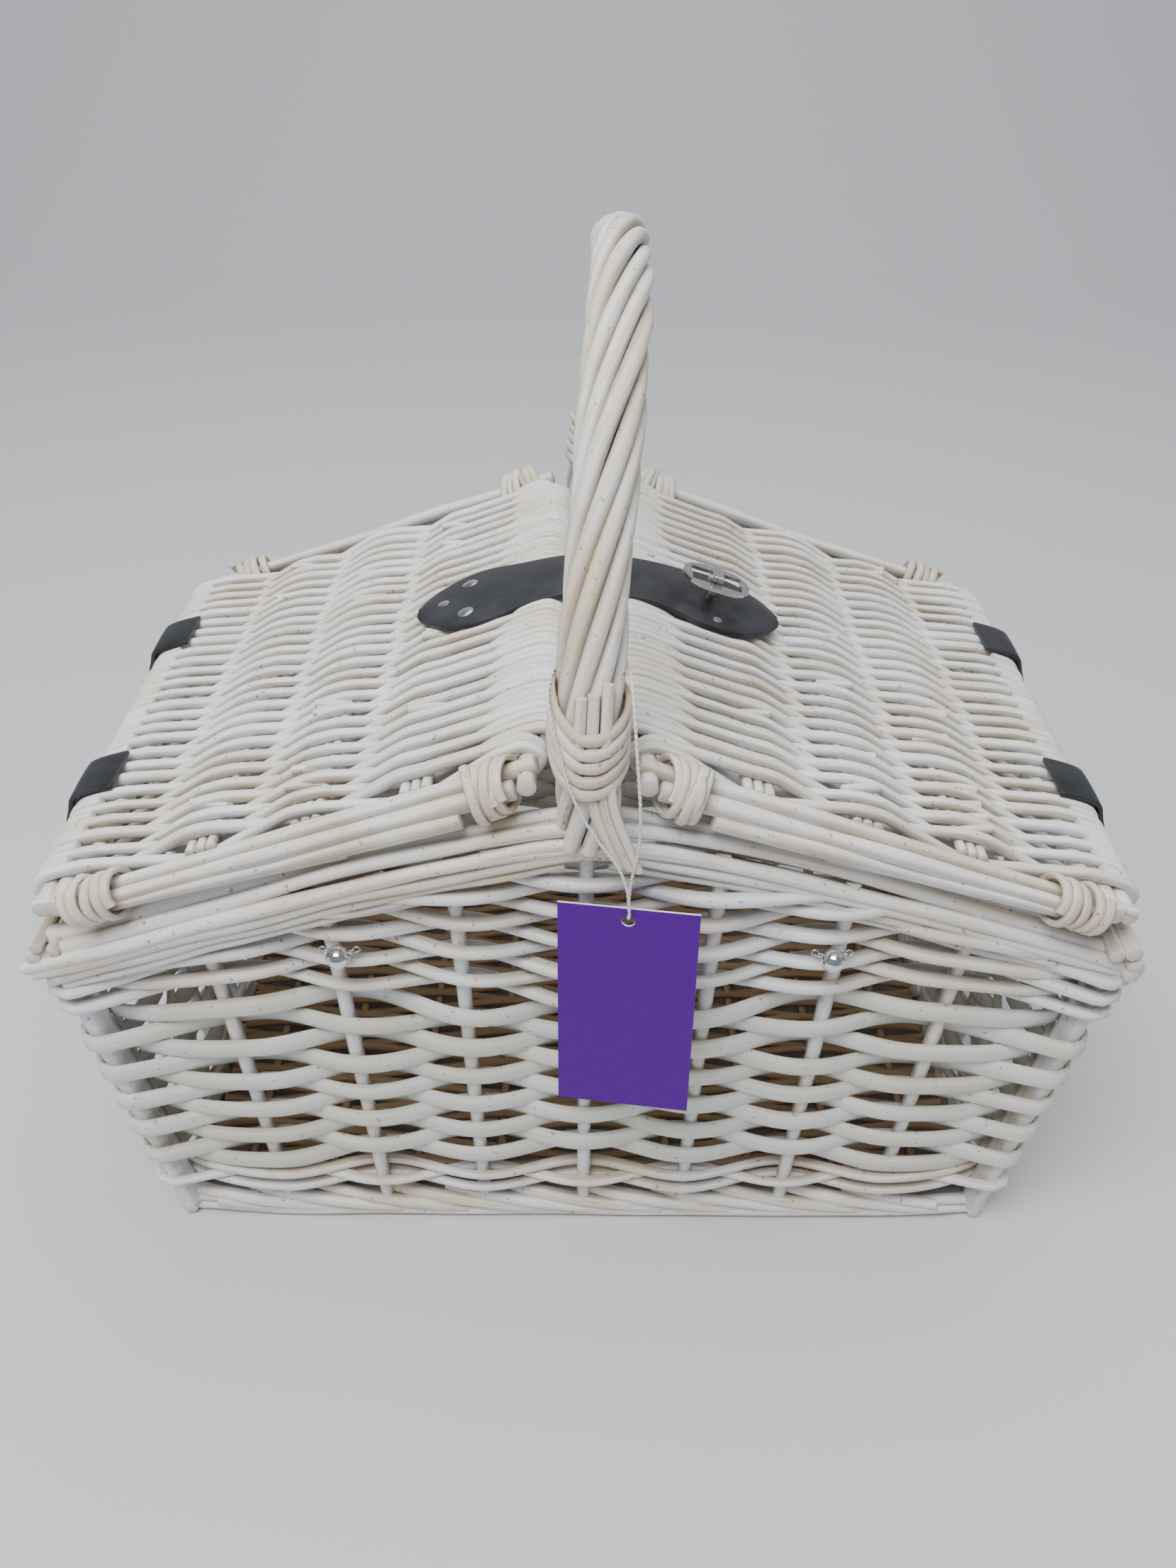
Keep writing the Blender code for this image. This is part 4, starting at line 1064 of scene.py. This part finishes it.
def main():
    walls = make_bands()
    upper = make_upper_rows()
    stakes = make_stakes()
    foot = make_foot()
    rim = make_rim()
    floor = make_floor()
    sides = ("front", "back", "left", "right")
    willow_slot = "whitewashed_willow"
    settle(walls, "basket", willow_slot, *[f"wall_{a}" for a in sides])
    settle(upper, "basket", willow_slot)
    settle(stakes, "basket", willow_slot, *[f"corner_post_{a}_{b}" for a in sides[:2]
                                            for b in sides[2:]])
    settle(foot, "basket", willow_slot, *[f"foot_rail_{a}" for a in sides])
    settle(rim, "basket", willow_slot, *[f"rim_{a}" for a in sides])
    settle(floor, "basket", "natural_willow", "base_weave")
    for side, word in ((-1, "left"), (1, "right")):
        body = f"lid_{word}"
        weave = lid_weave(side, word)
        sticks = lid_sticks(side, word)
        edges = lid_edges(side, word)
        bindings = lid_bindings(side, word)
        settle(weave, body, willow_slot, f"{body}_weave")
        settle(sticks, body, willow_slot, f"{body}_ridge_stick", f"{body}_inner_stick",
               f"{body}_outer_sticks")
        settle(edges, body, willow_slot, f"{body}_front_rod", f"{body}_back_rod")
        settle(bindings, body, "whitewashed_cane",
               *[f"{body}_{a}_{b}_binding" for a in sides[:2] for b in ("ridge", "corner")])
        for place in ("front", "back"):
            strap = make_hinge_strap(side, place)
            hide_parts(f"hinge_strap_{word}_{place}")
            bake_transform(strap)
    for word in ("left", "right"):
        settle(make_chain(word), "basket", "chrome")
    settle(make_handle(), "basket", willow_slot, "handle_core", "handle_twist")
    settle(make_handle_bindings(), "basket", "whitewashed_cane", "handle_binding_front",
           "handle_binding_back")

    strap = make_strap()
    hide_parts("strap_anchor", "strap_flap")
    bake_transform(strap)
    settle(make_tab(), "lid_right", "black_leather", "lock_tab")
    for k in (1, 2, 3):
        cap = make_rivet(f"strap_rivet_{k}", k, lid_normal(-1))
        settle(cap, "lid_left", "nickel", f"strap_rivet_{k}")
    settle(make_rivet("lock_tab_rivet", 4, lid_normal(1)), "lid_right", "nickel",
           "lock_tab_rivet")
    set_finish(NICKEL, "eyelet_plate", "turn_knob", "turn_knob_base")
    set_finish(CHROME, "chain_ball_left", "chain_ball_right")
    set_finish(CARD, "hang_tag")
    mark_cut_edges("hang_tag")
    string = make_string()
    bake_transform(string)


STRING_RADIUS = 0.6 * MM
PLY_TURN = 4.2 * MM
STRING_ROUTE = (
    (0.0008, -0.1157, 0.2925), (-0.0090, -0.1196, 0.2915), (-0.0120, -0.1294, 0.2900),
    (-0.0130, -0.1372, 0.2870), (-0.0118, -0.1430, 0.2800), (-0.0085, -0.1478, 0.2680),
    (-0.0035, -0.1503, 0.2530), (0.0035, -0.1515, 0.2400), (0.0100, -0.1522, 0.2300),
    (0.0135, -0.1524, 0.2205), (0.0146, -0.1524, 0.2110), (0.0146, -0.1517, 0.2068),
    (0.0146, -0.1500, 0.2061), (0.0146, -0.1483, 0.2068), (0.0146, -0.1476, 0.2110),
    (0.0152, -0.1480, 0.2205), (0.0166, -0.1494, 0.2300), (0.0174, -0.1503, 0.2400),
    (0.0172, -0.1500, 0.2530), (0.0160, -0.1470, 0.2680), (0.0150, -0.1420, 0.2800),
    (0.0141, -0.1350, 0.2885), (0.0133, -0.1290, 0.2918), (0.0100, -0.1186, 0.2938),
    (0.0026, -0.1148, 0.2950),
)


def make_string():
    """The tag's string: two plies twisted together, round the handle and through the tag."""
    rods = Rods()
    line = smooth(STRING_ROUTE, 0.7 * MM)
    tangent = unit(np.gradient(line, axis=0))
    across = unit(np.cross(tangent, (0.3, 0.2, 0.1)))
    above = np.cross(tangent, across)
    run = np.concatenate([[0], np.cumsum(np.linalg.norm(np.diff(line, axis=0), axis=1))])
    turn = 2 * math.pi * run[:, None] / PLY_TURN
    for way in (-1, 1):
        ply = line + way * 0.5 * STRING_RADIUS * (across * np.cos(turn) + above * np.sin(turn))
        rods.add(ply, 0.58 * STRING_RADIUS, (0.3, 0.2, 0.1), sides=6, uneven=0.0)
    string = rods.make("tag_cord", COTTON)
    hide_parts("tag_string")
    return string


def make_stage():
    """A pale seamless sweep: floor in front, curving up behind."""
    mesh = bpy.data.meshes.new("sweep")
    profile = [(-3.0, 0.0), (1.4, 0.0)]
    profile += [(1.4 + 0.9 * math.sin(a), 0.9 - 0.9 * math.cos(a))
                for a in np.linspace(0.15, math.pi / 2, 12)]
    profile.append((2.3, 4.0))
    verts = [(x, y, z) for y, z in profile for x in (-4.0, 4.0)]
    faces = [(2 * k, 2 * k + 1, 2 * k + 3, 2 * k + 2) for k in range(len(profile) - 1)]
    mesh.from_pydata(verts, [], faces)
    mesh.shade_smooth()
    material, _, shader = start_material("pale_sweep")
    shader.inputs["Base Color"].default_value = (0.60, 0.61, 0.635, 1)
    shader.inputs["Roughness"].default_value = 0.6
    mesh.materials.append(material)
    shown("sweep", mesh)


def add_light(name, place, target, size, power, colour):
    data = bpy.data.lights.new(name, "AREA")
    data.shape = "RECTANGLE"
    data.size = size[0]
    data.size_y = size[1]
    data.energy = power
    data.color = colour
    lamp = shown(name, data)
    lamp.location = place
    aim = Vector(target) - Vector(place)
    lamp.rotation_euler = aim.to_track_quat("-Z", "Y").to_euler()


def make_lights():
    add_light("window", (-0.5, -0.9, 1.9), (0, 0, 0.15), (1.3, 0.9), 50, (1.0, 0.995, 0.985))
    add_light("ceiling", (0.3, 0.5, 2.2), (0, 0, 0.1), (2.4, 2.0), 30, (0.97, 0.985, 1.0))
    world = bpy.data.worlds.new("room")
    world.use_nodes = True
    background = world.node_tree.nodes["Background"]
    background.inputs["Color"].default_value = (0.80, 0.82, 0.88, 1)
    background.inputs["Strength"].default_value = 0.33
    bpy.context.scene.world = world


def make_camera():
    """The eye stands in front of the basket and looks 34.5 degrees down."""
    place = (-0.0018, -0.4987, 0.5018)
    yaw, pitch, roll = 0.0053, 0.6026, 0.0103
    ahead = Vector((math.sin(yaw) * math.cos(pitch), math.cos(yaw) * math.cos(pitch),
                    -math.sin(pitch)))
    right = Vector((math.cos(yaw), -math.sin(yaw), 0))
    up = right.cross(ahead)
    turned_right = right * math.cos(roll) + up * math.sin(roll)
    turned_up = up * math.cos(roll) - right * math.sin(roll)
    data = bpy.data.cameras.new("eye")
    data.sensor_fit = "VERTICAL"
    data.sensor_height = 36
    data.lens = 30.11
    camera = shown("eye", data)
    turn = Matrix((turned_right, turned_up, -ahead)).transposed().to_4x4()
    camera.matrix_world = Matrix.Translation(place) @ turn
    bpy.context.scene.camera = camera


main()
make_stage()
make_lights()
make_camera()
